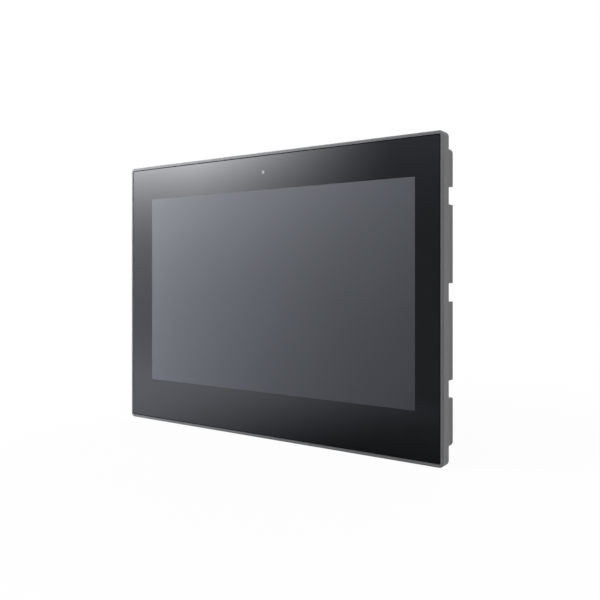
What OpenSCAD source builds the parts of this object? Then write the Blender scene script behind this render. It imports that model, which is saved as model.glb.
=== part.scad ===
// Panel-mount operator touch panel: black glass in a cast grey frame, the display stack behind it,
// the control board on its carrier plate, and a moulded rear housing with clamp notches.
// X runs to the right, Y from the front to the rear and Z up. The origin is the centre of the plane
// where the sealing gasket meets the cabinet's panel. All sizes are in millimetres.

/* [Front frame] */
// Width of the front frame
panel_w = 308.5; // [302:0.5:330]
// Height of the front frame
panel_h = 230.5; // [228:0.5:250]
// Depth of the front frame, from its lip to its rear face
frame_depth = 10; // [9:0.1:13]
// Radius of the frame's four corners, seen from the front
corner_r = 3.5; // [3.2:0.1:6]
// Width of the lip round the glass
lip_w = 2.3; // [1.8:0.1:2.8]
// Rounding of the lip's outer edge
lip_edge_r = 0.6; // [0.3:0.1:1]
// Rounding of the frame's rear outer edge
frame_rear_r = 1.2; // [0.5:0.1:1.4]
// Radius of the screw bosses on the frame's rear
boss_r = 3.5; // [3:0.1:4]

/* [Glass] */
// Thickness of the cover glass
glass_t = 2; // [1.6:0.1:2.6]
// Gap between the glass and the lip
glass_gap = 0.4; // [0.3:0.05:0.6]
// Depth of the glass below the lip
glass_recess = 0.2; // [0.1:0.05:0.5]
// Rounding of the glass edge
glass_edge_r = 0.3; // [0.2:0.05:0.4]
// Thickness of the printed border
print_t = 0.2; // [0.15:0.05:0.3]
// Thickness of the adhesive tape
tape_t = 1; // [0.8:0.1:1.4]
// Width of the adhesive tape
tape_w = 5; // [4:0.5:7]
// Thickness of the touch sensor
sensor_t = 0.5; // [0.4:0.05:0.7]
// Border of the touch sensor outside the picture
sensor_margin = 6.5; // [6:0.1:7]

/* [Status light] */
// Distance of the light below the frame's top edge
light_drop = 16; // [15:0.1:17]
// Radius of the light
light_r = 1.5; // [1:0.1:2]

/* [Panel fit] */
// Overlap of the frame on the cabinet panel at each side of the cut-out
cutout_margin = 6.75; // [6.5:0.05:8]
// Clearance of the housing in the cut-out
cutout_gap = 0.5; // [0.3:0.1:1]
// Width of the gasket
gasket_w = 4.2; // [3.5:0.1:4.8]
// Distance of the gasket from the frame's outer edge
gasket_edge = 1.6; // [1.5:0.1:1.9]
// Depth of the gasket's groove
groove_depth = 2.2; // [1.5:0.1:3]
// Height of the gasket above the frame's rear face
gasket_stand = 0.8; // [0.5:0.1:1.5]

/* [Display] */
// Border from the frame's outer edge to the picture, mean of left and right
side_border = 23.7; // [23:0.05:28]
// Border from the frame's outer edge to the picture, mean of top and bottom
end_border = 33.65; // [33:0.05:40]
// Centre of the picture to the right of the frame's centre
screen_dx = 2.7; // [0:0.1:3.5]
// Centre of the picture above the frame's centre
screen_dz = 3.4; // [0:0.1:4]
// Border of the display at its left and right sides
lcd_side = 7; // [6.8:0.1:7.5]
// Border of the display above and below
lcd_ends = 8.4; // [8:0.1:8.8]
// Clearance round the display in the frame
lcd_gap = 1; // [0.6:0.1:1.2]
// Thickness of the dust gasket
foam_t = 1; // [0.7:0.1:1.5]
// Width of the dust gasket
foam_w = 2.5; // [2:0.1:3]
// Sheet thickness of the display's frame
lcd_sheet = 0.5; // [0.3:0.05:0.6]
// Thickness of the display cell
cell_t = 1.2; // [1:0.1:1.6]
// Thickness of the diffuser films
films_t = 0.8; // [0.5:0.1:1.2]
// Thickness of the light guide
guide_t = 3.5; // [3:0.1:4.5]
// Sheet thickness of the backlight tray
tray_t = 0.8; // [0.6:0.1:1]
// Thickness of the backlight strip
strip_t = 1.6; // [1.2:0.1:2]

/* [Carrier] */
// Sheet thickness of the chassis plate
chassis_t = 1.2; // [1:0.1:1.5]
// Gap between the chassis plate and the housing's walls
chassis_gap = 2; // [1.5:0.1:3]
// Height of the board's standoffs
standoff_h = 5.5; // [5:0.1:6]

/* [Control board] */
// Width of the control board
board_w = 206; // [202:1:212]
// Height of the control board
board_h = 122; // [118:1:130]
// Thickness of the control board
board_t = 1.6; // [1.2:0.1:2]
// Processor's side length
chip_side = 27; // [20:1:35]
// Heat sink's width
sink_w = 64; // [50:1:68]
// Heat sink's height
sink_h = 56; // [40:1:60]
// Heat sink's depth, base and fins
sink_depth = 14; // [10:0.5:15]
// Number of fins on the heat sink
fin_count = 11; // [7:1:13]

/* [Rear housing] */
// Wall thickness of the housing
wall = 2.5; // [2:0.1:3]
// Depth of the housing's rim behind the cabinet panel's plane
housing_depth = 25.2; // [24.6:0.1:30]
// Radius of the housing's corners, seen from the rear
housing_r = 3.5; // [3:0.1:8]
// Rounding of the housing's rear edge
housing_rear_r = 2; // [1:0.1:2.5]
// Width of the raised middle
plateau_w = 236; // [224:1:250]
// Top edge of the raised middle above the centre
plateau_top = 88; // [84:0.5:90]
// Bottom edge of the raised middle below the centre
plateau_bottom = 58; // [56:0.5:62]
// Height of the raised middle above the rim
plateau_rise = 6; // [5:0.1:9]
// Corner radius of the raised middle
plateau_r = 12; // [10:0.5:16]

/* [Clamp notches] */
// Width of a notch
notch_w = 13.4; // [10:0.1:16]
// Distance between notches along one side
notch_pitch = 70; // [64:0.5:74]
// Height of the middle side notch above the centre
notch_dz = 3.8; // [0:0.1:6]
// Depth of a notch into the housing's side
notch_in = 5; // [4.2:0.1:6]
// Length of a notch from the housing's rear rim
notch_depth = 10; // [8:0.1:12]
// Wall thickness round a notch
notch_wall = 2; // [1.5:0.1:2.5]

/* [Vents] */
// Width of a vent slot
vent_w = 3; // [2:0.1:4]
// Distance between vent slots on the raised middle
vent_pitch = 8; // [6.5:0.1:12]
// Length of the upper vent slots
vent_upper = 24; // [12:1:26]
// Length of the lower vent slots
vent_lower = 16; // [10:1:20]
// Distance between vent slots in the top wall
top_vent_pitch = 6; // [5:0.1:7]
// Length of the vent slots in the top wall
top_vent_len = 10; // [6:0.5:11]

/* [Port bay] */
// Width of the bay under the ports
bay_w = 216; // [214:1:222]
// Distance of the port wall below the centre
port_drop = 72; // [70:0.5:74]
// Height of the bay's floor behind the cabinet panel's plane
bay_floor = 6.5; // [6:0.1:7]
// Thickness of the metal port plate
plate_t = 1; // [0.8:0.1:1.5]
// Distance of the outer ports from the bay's sides
port_edge = 8; // [7.5:0.1:10]
// Distance between the network sockets
lan_pitch = 19; // [18:0.5:22]
// Distance between the USB ports
usb_pitch = 17; // [15:0.5:18]

/* [Service door] */
// Width of the service door
door_w = 52; // [50:0.5:56]
// Height of the service door
door_h = 36; // [34:0.5:40]
// Thickness of the service door
door_t = 2; // [1.6:0.1:2.4]
// Place of the door's middle across the housing
door_x = 72; // [66:1:74]
// Place of the door's middle above the centre
door_z = 22; // [20:1:24]
// Radius of the door's hinge barrel
hinge_r = 1.6; // [1.4:0.1:1.8]
// Radius of the door's stub pins
pin_r = 0.9; // [0.7:0.05:1]
// Length of the door's stub pins
pin_len = 2; // [1.5:0.1:2.5]
// Ledge that the door rests on
door_ledge = 2.5; // [2:0.1:2.8]

/* [Switches] */
// Radius of the reset plunger
plunger_r = 1.75; // [1.2:0.05:2]
// Travel of the reset plunger
plunger_travel = 0.5; // [0.3:0.05:0.6]
// Distance between the setting sliders
slider_pitch = 2.54; // [2.3:0.02:2.6]
// Travel of a setting slider
slider_travel = 1.8; // [1.4:0.1:2]

/* [Fasteners] */
// Shank radius of the screws
screw_r = 1.5; // [1.2:0.05:1.6]
// Head radius of the screws
head_r = 2.8; // [2.5:0.1:3]
// Head height of the screws
head_t = 1.8; // [1.5:0.1:2]

/* [Clearances] */
// Gap round pieces that are set into a recess
fit = 0.3; // [0.2:0.05:0.4]
// Gap between a pin or screw and its hole
pin_fit = 0.1; // [0.05:0.01:0.15]

/* [Hidden] */
$fn = 48;
// Overshoot of a cut, and overlap of shapes joined in one piece
cut = 1;
lap = 0.1;
frame_grey = [0.42, 0.42, 0.43];
housing_grey = [0.43, 0.43, 0.44];
steel = [0.72, 0.72, 0.74];
gold = [0.85, 0.68, 0.3];
ink_black = [0.03, 0.03, 0.035];
board_green = [0.05, 0.3, 0.16];
chip_black = [0.08, 0.08, 0.09];

// Depth levels from the front to the rear
y_frame_rear = -gasket_stand;
y_front = y_frame_rear - frame_depth;
y_glass = y_front + glass_recess;
y_glass_rear = y_glass + glass_t;
y_print_rear = y_glass_rear + print_t;
y_flange = y_print_rear + tape_t;
y_sensor_rear = y_print_rear + sensor_t;
y_lcd = y_sensor_rear + foam_t;
y_cell = y_lcd + lcd_sheet;
y_films = y_cell + cell_t;
y_guide = y_films + films_t;
y_tray = y_guide + guide_t;
y_chassis = y_tray + tray_t;
y_chassis_rear = y_chassis + chassis_t;
y_board = y_chassis_rear + standoff_h;
y_board_rear = y_board + board_t;
y_plateau = housing_depth + plateau_rise;

// Outlines
pocket_r = corner_r - lip_w;
glass_w = panel_w - 2 * (lip_w + glass_gap);
glass_h = panel_h - 2 * (lip_w + glass_gap);
glass_r = pocket_r - glass_gap;
housing_w = panel_w - 2 * (cutout_margin + cutout_gap);
housing_h = panel_h - 2 * (cutout_margin + cutout_gap);
inside_w = housing_w - 2 * wall;
inside_h = housing_h - 2 * wall;
inside_r = 2;
gasket_out_w = panel_w - 2 * gasket_edge;
gasket_out_h = panel_h - 2 * gasket_edge;
gasket_r = 3;
gasket_in_r = 1;
screen_w = panel_w - 2 * side_border;
screen_h = panel_h - 2 * end_border;
lcd_w = screen_w + 2 * lcd_side;
lcd_h = screen_h + 2 * lcd_ends;
tray_w = lcd_w - 2 * (lcd_sheet + pin_fit);
tray_h = lcd_h - 2 * (lcd_sheet + pin_fit);
foam_inner = 1.5;
window_edge = 1;
chassis_w = inside_w - 2 * chassis_gap;
chassis_h = inside_h - 2 * chassis_gap;
chassis_r = 4;
plateau_h = plateau_top + plateau_bottom;
plateau_z = (plateau_top - plateau_bottom) / 2;

// Screw places: the outer and inner columns that hold the housing, and the chassis screws between
column_r = 4.5;
column_edge_x = 3;
column_edge_z = 2;
head_gap = 0.4;
well_r = head_r + head_gap;
screw_x = inside_w / 2 - column_r - column_edge_x;
screw_z = inside_h / 2 - column_r - column_edge_z;
well_spots = [for (sx = [-1, 1]) each [[sx * screw_x, screw_z], [sx * screw_x, -screw_z],
    [sx * notch_pitch, screw_z]]];
bay_spots = [for (sx = [-1, 1]) [sx * notch_pitch, -screw_z]];
housing_spots = concat(well_spots, bay_spots);
chassis_spots = [for (sx = [-1, 1], sz = [-1, 1]) [sx * 1.5 * notch_pitch, sz * screw_z]];
thread_floor = 1.8;
thread_end = y_flange + thread_floor;
tip_gap = 1;
cross_half_w = 0.35;
cross_half_len = 0.6 * head_r;

notch_side_gap = 1;

// Status light
light_z = panel_h / 2 - light_drop;
collar_w = 1.1;
collar_r = light_r + collar_w;
collar_t = 0.6;
lamp_side = 3;
lamp_t = 1.2;
lamp_gap = 0.2;
lamp_board_w = 24;
lamp_board_h = 8;
lamp_board_t = 1;
lamp_post_x = 9;
lamp_post_r = 2;
y_collar_rear = y_chassis - lamp_t - lamp_gap;

// Ports, spread evenly from side to side of the bay
z_port = -port_drop;
z_plate = z_port - plate_t;
port_stand = 0.6;
z_face = z_plate - port_stand;
port_window_edge = 7;
port_hole_gap = 0.2;
plate_screw_x = bay_w / 2 - 4;
plate_boss_w = 7;
plate_boss_t = 4;
plate_boss_floor = 0.5;
bay_gap = 0.5;
power_size = [26, 12, 14];
power_cavity = [16, 9, 10];
power_pin_side = 1.2;
power_pin_pitch = 5.08;
power_pin_lift = 1.8;
pin_recess = 1;
power_nut_x = 10.5;
power_y = y_board_rear + power_size[1] / 2;
serial_flange = [31, 12.6, 1];
serial_jack_pitch = 25;
serial_y = y_board_rear + serial_flange[1] / 2;
shell_w = 16.9;
shell_h = 8.3;
shell_r = 2;
shell_stand = 6;
shell_wall = 0.6;
jack_r = 2.75;
jack_len = 5;
jack_hole_r = 1.25;
lan_size = [16, 13.4, 21.3];
usb_size = [13.2, 5.8, 14];
usb_wall = 0.4;
service_size = [9, 3.3, 7.5];
card_size = [28, 3, 27];
y_port_room = y_board_rear + lan_size[1] + fit;
port_widths = [power_size[0], serial_flange[0], lan_pitch + lan_size[0], usb_pitch + usb_size[0],
    service_size[0], card_size[0]];
port_last = len(port_widths) - 1;
port_gap = (bay_w - 2 * port_edge - sum_of(port_widths, port_last)) / port_last;
power_x = port_place(0);
serial_x = port_place(1);
lan_x = port_place(2);
usb_x = port_place(3);
service_x = port_place(4);
card_x = port_place(5);
lan_xs = [lan_x - lan_pitch / 2, lan_x + lan_pitch / 2];
usb_xs = [usb_x - usb_pitch / 2, usb_x + usb_pitch / 2];

// Sum of a list's items up to the given one, and the place of a port's middle across the bay
function sum_of(items, i) = i < 0 ? 0 : items[i] + sum_of(items, i - 1);
function port_place(i) = port_edge - bay_w / 2 + sum_of(port_widths, i) - port_widths[i] / 2 + i * port_gap;

// Control board
board_lift = 2.5;
z_board_low = z_port + wall + board_lift;
z_board_top = z_board_low + board_h;
hole_inset = 5;
left_hole_z = 18;
right_hole_z = 31;
middle_hole_z = 22;
standoff_spots = [
    [-board_w / 2 + hole_inset, z_board_top - hole_inset],
    [0, z_board_top - hole_inset],
    [board_w / 2 - hole_inset, z_board_top - hole_inset],
    [-board_w / 2 + hole_inset, z_board_low + left_hole_z],
    [board_w / 2 - hole_inset, z_board_low + right_hole_z],
    [lan_x, z_board_low + middle_hole_z]];
standoff_r = 2.9;
chip_t = 2;
pad_t = 0.8;
y_sink = y_board_rear + chip_t + pad_t;
sink_base = 3;
fin_t = 1.6;
chip_x = -25;
chip_drop = 47;
chip_z = z_board_top - chip_drop;
pad_edge = 0.5;
memory_size = [10, 14, 1.2];
memory_gap = 6;
memory_pitch = 17;
memory_x = chip_x + sink_w / 2 + memory_gap + memory_size[0] / 2;
memory_zs = [for (i = [-1.5 : 1.5]) chip_z + i * memory_pitch];
capacitor_r = 4;
capacitor_h = 12;
capacitor_edge = 14;
capacitor_lift = 20;
capacitor_step = 3 * capacitor_r;
coil_side = 12;
coil_t = 7;
coil_edge = 16;
coil_step = 1.3 * coil_side;
connector_t = 2;
connector_h = 5;
display_x = -60;
display_drop = 18;
display_z = z_board_top - display_drop;
display_cable_w = 28;
touch_x = -30;
touch_cable_w = 22;
cable_t = 0.3;
touch_t = 0.2;
z_touch_gap = screen_dz - lcd_h / 2 - lcd_gap / 2;
touch_slot_h = 6;
touch_lift = 5;
touch_lap = 1.5;
touch_clear = 1.5;
z_touch_end = z_board_low + touch_lift;
cable_slot_edge = 3;
chassis_window = [60, 26];
chassis_window_x = 60;

// Service door and what lies behind it
hinge_x = door_x + door_w / 2 - hinge_r;
hinge_y = y_plateau - hinge_r;
door_left = door_x - door_w / 2;
y_door = y_plateau - door_t;
well_w = door_w - 2 * door_ledge;
well_h = door_h - 2 * door_ledge;
well_wall = 1.6;
well_lift = 2.3;
y_well = y_board_rear + well_lift;
door_frame = 2.2;
door_frame_depth = 6;
scoop_r = 6;
scoop_depth = 1.4;
rib_t = 1.2;
rib_h = 1.4;
rib_gap = 0.8;
battery_dx = 10;
switch_dx = 14;
slider_dz = 6;
reset_dz = 8.5;
battery_x = door_x - battery_dx;
battery_r = 10;
battery_t = 3.2;
holder_side = 24;
holder_t = 5;
holder_floor = 1.2;
switch_x = door_x + switch_dx;
slider_z = door_z + slider_dz;
reset_z = door_z - reset_dz;
dip_w = 6.2;
dip_t = 5;
dip_pocket = 1;
slider_w = 1.2;
slider_h = 1.3;
slider_t = 1.8;
slider_count = 4;
dip_ends = 1.5;
dip_h = slider_count * slider_pitch + dip_ends;
reset_side = 6;
reset_t = 3.5;
plunger_len = 2.8;
plunger_seat = 0.9;

// Rectangle with round corners
module round_rect(w, h, r) {
    square([w - 2 * r, h], center = true);
    square([w, h - 2 * r], center = true);
    for (sx = [-1, 1], sz = [-1, 1])
        translate([sx * (w / 2 - r), sz * (h / 2 - r)]) circle(r);
}

// Slot with round ends, along the second axis
module round_slot(w, h) {
    square([w, h - w], center = true);
    for (s = [-1, 1]) translate([0, s * (h - w) / 2]) circle(w / 2);
}

// Outline seen from the front, given its depth from y0 to y1
module slab(y0, y1) {
    translate([0, y1, 0]) rotate([90, 0, 0]) linear_extrude(y1 - y0) children();
}

// Round post along the depth
module post(y0, y1, r) {
    translate([0, y1, 0]) rotate([90, 0, 0]) cylinder(r = r, h = y1 - y0);
}

// Places its children at a spot seen from the front
module at(spot) {
    translate([spot[0], 0, spot[1]]) children();
}

module at_screen() {
    at([screen_dx, screen_dz]) children();
}

// Box given by its low and high corners
module span(low, high) {
    translate(low) cube(high - low);
}

// Both mirror images of its children, left and right
module both_sides() {
    children();
    mirror([1, 0, 0]) children();
}

// Sweeps an edge profile round a rectangle with corner radius r. The profile's x runs outward from
// the corner's centre and its y along the depth.
module edge_sweep(w, h, r) {
    for (mz = [0, 1]) mirror([0, 0, mz]) both_sides()
        translate([w / 2 - r, 0, r - h / 2]) rotate([-90, 0, 0]) rotate_extrude(angle = 90) children();
    both_sides() translate([w / 2 - r, 0, r - h / 2]) linear_extrude(h - 2 * r) children();
    for (mz = [0, 1]) mirror([0, 0, mz])
        translate([r - w / 2, 0, r - h / 2]) rotate([0, 90, 0]) linear_extrude(w - 2 * r) children();
}

// Quarter of a disc, in the corner where both axes are positive
module quarter_disc(r) {
    intersection() {
        circle(r);
        square(r);
    }
}

// Edge profile from y0 to y1 with a rounding at each end
module edge_profile(r, y0, y1, front_r, rear_r) {
    square_r = r - max(front_r, rear_r);
    translate([0, y0]) square([square_r, y1 - y0]);
    translate([0, y0 + front_r]) square([r, y1 - y0 - front_r - rear_r]);
    translate([0, y0]) square([r - front_r, y1 - y0 - rear_r]);
    translate([0, y0 + front_r]) square([r - rear_r, y1 - y0 - front_r]);
    if (front_r > 0) translate([r - front_r, y0 + front_r]) mirror([0, 1]) quarter_disc(front_r);
    if (rear_r > 0) translate([r - rear_r, y1 - rear_r]) quarter_disc(rear_r);
}

// Plate with round corners and rounded front and rear edges
module edge_plate(w, h, r, y0, y1, front_r, rear_r) {
    edge_sweep(w, h, r) edge_profile(r, y0, y1, front_r, rear_r);
    slab(y0, y1) square([w - 2 * r, h - 2 * r], center = true);
}

// Ring between two rectangles with round corners
module ring(w, h, r, t, inner_r) {
    difference() {
        round_rect(w, h, r);
        round_rect(w - 2 * t, h - 2 * t, inner_r);
    }
}

// Screw along the depth: head on y_seat, pointing to the front
module screw(y_seat, y_tip) {
    slot_depth = head_t / 2;
    difference() {
        union() {
            post(y_seat, y_seat + head_t, head_r);
            post(y_tip, y_seat + lap, screw_r);
        }
        for (a = [0, 90]) rotate([0, a, 0])
            span([-cross_half_len, y_seat + head_t - slot_depth, -cross_half_w],
                [cross_half_len, y_seat + head_t + cut, cross_half_w]);
    }
}

// Direction of one step of a path, and the offset to a strip's edge at each of the path's points
function step_along(points, i) = (points[i] - points[i - 1]) / norm(points[i] - points[i - 1]);
function edge_offset(points, i, t) =
    let (before = step_along(points, max(i, 1)),
        after = step_along(points, min(i + 1, len(points) - 1)),
        both = before + after,
        across = [-both[1], both[0]])
    across * t / (across * across);

// Strip of the given thickness along a path of depth and height
module strip_path(points, t) {
    last = len(points) - 1;
    polygon(concat([for (i = [0 : last]) points[i] + edge_offset(points, i, t)],
        [for (i = [last : -1 : 0]) points[i] - edge_offset(points, i, t)]));
}

// Ribbon cable of width w, following a path of depth and height
module ribbon(points, t, w) {
    translate([-w / 2, 0, 0]) rotate([90, 0, 90]) linear_extrude(w) strip_path(points, t);
}

// Box behind the port plate: x is its middle, y starts on the board and z runs up from z_low
module port_box(x, size, z_low) {
    span([x - size[0] / 2, y_board_rear, z_low], [x + size[0] / 2, y_board_rear + size[1], z_low + size[2]]);
}

// Front

module bezel_frame() {
    color(frame_grey) difference() {
        union() {
            edge_plate(panel_w, panel_h, corner_r, y_front, y_frame_rear, lip_edge_r, frame_rear_r);
            for (spot = concat(housing_spots, chassis_spots))
                at(spot) post(y_frame_rear - lap, y_chassis, boss_r);
            both_sides() at([lamp_post_x, light_z]) post(y_frame_rear - lap, y_chassis, lamp_post_r);
        }
        slab(y_front - cut, y_flange) round_rect(panel_w - 2 * lip_w, panel_h - 2 * lip_w, pocket_r);
        at_screen() slab(y_front, y_chassis + cut)
            round_rect(lcd_w + 2 * lcd_gap, lcd_h + 2 * lcd_gap, inside_r);
        slab(y_frame_rear - groove_depth, y_frame_rear + cut)
            ring(gasket_out_w + 2 * pin_fit, gasket_out_h + 2 * pin_fit, gasket_r,
                gasket_w + 2 * pin_fit, gasket_in_r);
        for (spot = concat(housing_spots, chassis_spots))
            at(spot) post(thread_end, y_chassis + cut, screw_r + pin_fit);
        at([0, light_z]) {
            post(y_flange - cut, y_frame_rear + cut, light_r + pin_fit);
            post(y_collar_rear - collar_t, y_frame_rear + cut, collar_r + fit);
        }
    }
}

module front_glass() {
    color([0.75, 0.8, 0.85, 0.35])
        edge_plate(glass_w, glass_h, glass_r, y_glass, y_glass_rear, glass_edge_r, glass_edge_r);
}

module border_print() {
    color(ink_black) slab(y_glass_rear, y_print_rear) difference() {
        round_rect(glass_w - 2 * glass_edge_r, glass_h - 2 * glass_edge_r, glass_edge_r);
        translate([screen_dx, screen_dz]) square([screen_w, screen_h], center = true);
        translate([0, light_z]) circle(light_r);
    }
}

module touch_sensor() {
    color([0.75, 0.8, 0.85, 0.35]) at_screen() slab(y_print_rear, y_sensor_rear)
        square([screen_w + 2 * sensor_margin, screen_h + 2 * sensor_margin], center = true);
}

module glass_tape() {
    color(chip_black) slab(y_print_rear, y_flange)
        ring(glass_w - 2 * fit, glass_h - 2 * fit, pocket_r, tape_w, glass_edge_r);
}

module panel_gasket() {
    color([0.12, 0.12, 0.13]) slab(y_frame_rear - groove_depth, 0)
        ring(gasket_out_w, gasket_out_h, gasket_r, gasket_w, gasket_in_r);
}

module status_light_pipe() {
    color([0.9, 0.92, 0.9]) at([0, light_z]) {
        post(y_print_rear, y_collar_rear, light_r);
        post(y_collar_rear - collar_t, y_collar_rear, collar_r);
    }
}

module status_lamp() {
    color([0.95, 0.95, 0.85]) at([0, light_z])
        slab(y_chassis - lamp_t, y_chassis) square(lamp_side, center = true);
}

module status_board() {
    color(board_green) at([0, light_z])
        slab(y_chassis, y_chassis + lamp_board_t) square([lamp_board_w, lamp_board_h], center = true);
}

// Display

module dust_gasket() {
    outer = foam_inner + foam_w;
    color([0.1, 0.1, 0.11]) at_screen() slab(y_sensor_rear, y_lcd)
        ring(screen_w + 2 * outer, screen_h + 2 * outer, glass_edge_r, foam_w, glass_edge_r);
}

module display_frame() {
    color(steel) at_screen() difference() {
        slab(y_lcd, y_tray) round_rect(lcd_w, lcd_h, inside_r);
        slab(y_cell, y_tray + cut) square([lcd_w - 2 * lcd_sheet, lcd_h - 2 * lcd_sheet], center = true);
        slab(y_lcd - cut, y_cell + cut)
            square([screen_w + 2 * window_edge, screen_h + 2 * window_edge], center = true);
    }
}

module display_cell() {
    color([0.2, 0.21, 0.23]) at_screen() slab(y_cell, y_films)
        square([tray_w - tray_t, tray_h - tray_t], center = true);
}

module diffuser_films() {
    color([0.95, 0.95, 0.95]) at_screen() slab(y_films, y_guide)
        square([tray_w - 2 * (tray_t + fit), tray_h - 2 * (tray_t + fit)], center = true);
}

module light_guide() {
    low = -tray_h / 2 + tray_t + strip_t + fit;
    high = tray_h / 2 - tray_t - fit;
    half = tray_w / 2 - tray_t - fit;
    color([0.85, 0.92, 0.95, 0.6]) at_screen() span([-half, y_guide, low], [half, y_tray, high]);
}

module backlight_strip() {
    half = tray_w / 2 - tray_t - fit;
    low = -tray_h / 2 + tray_t;
    color([0.95, 0.93, 0.8]) at_screen() span([-half, y_guide, low], [half, y_tray, low + strip_t]);
}

module backlight_tray() {
    color(steel) at_screen() difference() {
        slab(y_films, y_chassis) square([tray_w, tray_h], center = true);
        slab(y_films - cut, y_tray) square([tray_w - 2 * tray_t, tray_h - 2 * tray_t], center = true);
    }
}

// Carrier

module chassis_plate() {
    color(steel) slab(y_chassis, y_chassis_rear) difference() {
        round_rect(chassis_w, chassis_h, chassis_r);
        for (spot = concat(housing_spots, chassis_spots)) translate(spot) circle(screw_r + 2 * pin_fit);
        translate([0, light_z])
            square([lamp_board_w + 4 * fit, lamp_board_h + 4 * fit], center = true);
        translate([display_x, display_z - 2 * connector_h])
            square([display_cable_w + 2 * cable_slot_edge, 4 * connector_h], center = true);
        translate([touch_x, z_touch_gap])
            square([touch_cable_w + 2 * cable_slot_edge, touch_slot_h], center = true);
        for (sx = [-1, 1]) translate([sx * chassis_window_x, 0])
            round_rect(chassis_window[0], chassis_window[1], chassis_r);
    }
}

module chassis_screws() {
    color(steel) for (spot = chassis_spots) at(spot) screw(y_chassis_rear, thread_end + tip_gap);
}

module board_standoffs() {
    color(gold) for (spot = standoff_spots) at(spot) difference() {
        translate([0, y_board, 0]) rotate([90, 0, 0]) cylinder(r = standoff_r, h = standoff_h, $fn = 6);
        post(y_chassis_rear - cut, y_board + cut, screw_r + pin_fit);
    }
}

module control_board() {
    color(board_green) slab(y_board, y_board_rear) difference() {
        translate([0, (z_board_low + z_board_top) / 2]) round_rect(board_w, board_h, inside_r);
        for (spot = standoff_spots) translate(spot) circle(screw_r + 2 * pin_fit);
    }
}

module board_screws() {
    color(steel) for (spot = standoff_spots) at(spot) screw(y_board_rear, y_board - standoff_h / 2);
}

module processor() {
    color(chip_black) at([chip_x, chip_z])
        slab(y_board_rear, y_board_rear + chip_t) square(chip_side, center = true);
}

module thermal_pad() {
    color([0.5, 0.55, 0.6]) at([chip_x, chip_z])
        slab(y_board_rear + chip_t, y_sink) square(chip_side - 2 * pad_edge, center = true);
}

module heat_sink() {
    fin_step = (sink_w - fin_t) / (fin_count - 1);
    color([0.6, 0.6, 0.62]) at([chip_x, chip_z]) {
        slab(y_sink, y_sink + sink_base) square([sink_w, sink_h], center = true);
        for (i = [0 : fin_count - 1])
            translate([-sink_w / 2 + i * fin_step, y_sink, -sink_h / 2]) cube([fin_t, sink_depth, sink_h]);
    }
}

module memory_chips() {
    color(chip_black) for (z = memory_zs) at([memory_x, z])
        slab(y_board_rear, y_board_rear + memory_size[2])
            square([memory_size[0], memory_size[1]], center = true);
}

module capacitors() {
    color([0.25, 0.27, 0.32])
        for (ix = [0 : 2], iz = [0, 1])
            at([capacitor_edge - board_w / 2 + ix * capacitor_step,
                z_board_low + capacitor_lift + iz * capacitor_step])
                post(y_board_rear, y_board_rear + capacitor_h, capacitor_r);
}

module power_coils() {
    color([0.3, 0.3, 0.31])
        for (iz = [0 : 2]) at([coil_edge - board_w / 2, chip_z + iz * coil_step])
            slab(y_board_rear, y_board_rear + coil_t) round_rect(coil_side, coil_side, inside_r);
}

// Connector on the front of the board that takes a ribbon cable
module cable_connector(x, z, w) {
    span([x - w / 2 - inside_r, y_board - connector_t, z], [x + w / 2 + inside_r, y_board, z + connector_h]);
}

module display_connector() {
    color([0.9, 0.88, 0.8]) cable_connector(display_x, display_z, display_cable_w);
}

module display_cable() {
    y_mid = y_board - connector_t / 2;
    y_low = y_chassis + cable_t / 2;
    color([0.85, 0.82, 0.7]) translate([display_x, 0, 0])
        ribbon([[y_low, display_z - 3.5 * connector_h], [y_low, display_z - 2 * connector_h],
            [y_mid, display_z - connector_h], [y_mid, display_z]], cable_t, display_cable_w);
}

module touch_connector() {
    color([0.9, 0.88, 0.8]) cable_connector(touch_x, z_touch_end, touch_cable_w);
}

module touch_cable() {
    y_mid = y_board - connector_t / 2;
    y_turn = y_chassis_rear + touch_clear;
    y_low = y_sensor_rear + touch_t / 2;
    z_start = screen_dz - screen_h / 2 - sensor_margin + touch_lap;
    color([0.75, 0.5, 0.2]) translate([touch_x, 0, 0])
        ribbon([[y_low, z_start], [y_low, z_touch_gap], [y_turn, z_touch_gap], [y_turn, z_board_low],
            [y_mid, z_touch_end - connector_h / 4], [y_mid, z_touch_end]], touch_t, touch_cable_w);
}

// Behind the service door

module battery_holder() {
    color(chip_black) at([battery_x, door_z]) difference() {
        slab(y_board_rear, y_board_rear + holder_t) round_rect(holder_side, holder_side, inside_r);
        post(y_board_rear + holder_floor, y_board_rear + holder_t + cut, battery_r + fit);
        slab(y_board_rear + holder_floor, y_board_rear + holder_t + cut)
            translate([0, holder_side / 2]) square([holder_side / 2, holder_side / 2], center = true);
    }
}

module backup_battery() {
    color(steel) at([battery_x, door_z])
        post(y_board_rear + holder_floor, y_board_rear + holder_floor + battery_t, battery_r);
}

module setting_switch() {
    top = y_board_rear + dip_t;
    color([0.1, 0.22, 0.5]) at([switch_x, slider_z]) difference() {
        slab(y_board_rear, top) square([dip_w, dip_h], center = true);
        for (i = [1 : slider_count]) translate([0, 0, slider_offset(i)])
            slab(top - dip_pocket, top + cut)
                square([slider_w + slider_travel + 2 * fit, slider_h + fit], center = true);
    }
}

function slider_offset(i) = (i - (slider_count + 1) / 2) * slider_pitch;

module setting_slider(i) {
    floor_y = y_board_rear + dip_t - dip_pocket + pin_fit;
    color([0.92, 0.92, 0.9]) at([switch_x - slider_travel / 2, slider_z + slider_offset(i)])
        slab(floor_y, floor_y + slider_t) square([slider_w, slider_h], center = true);
}

module reset_switch() {
    top = y_board_rear + reset_t;
    color(chip_black) at([switch_x, reset_z]) difference() {
        slab(y_board_rear, top) square(reset_side, center = true);
        post(top - plunger_seat - plunger_travel - pin_fit, top + cut, plunger_r + pin_fit);
    }
}

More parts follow.
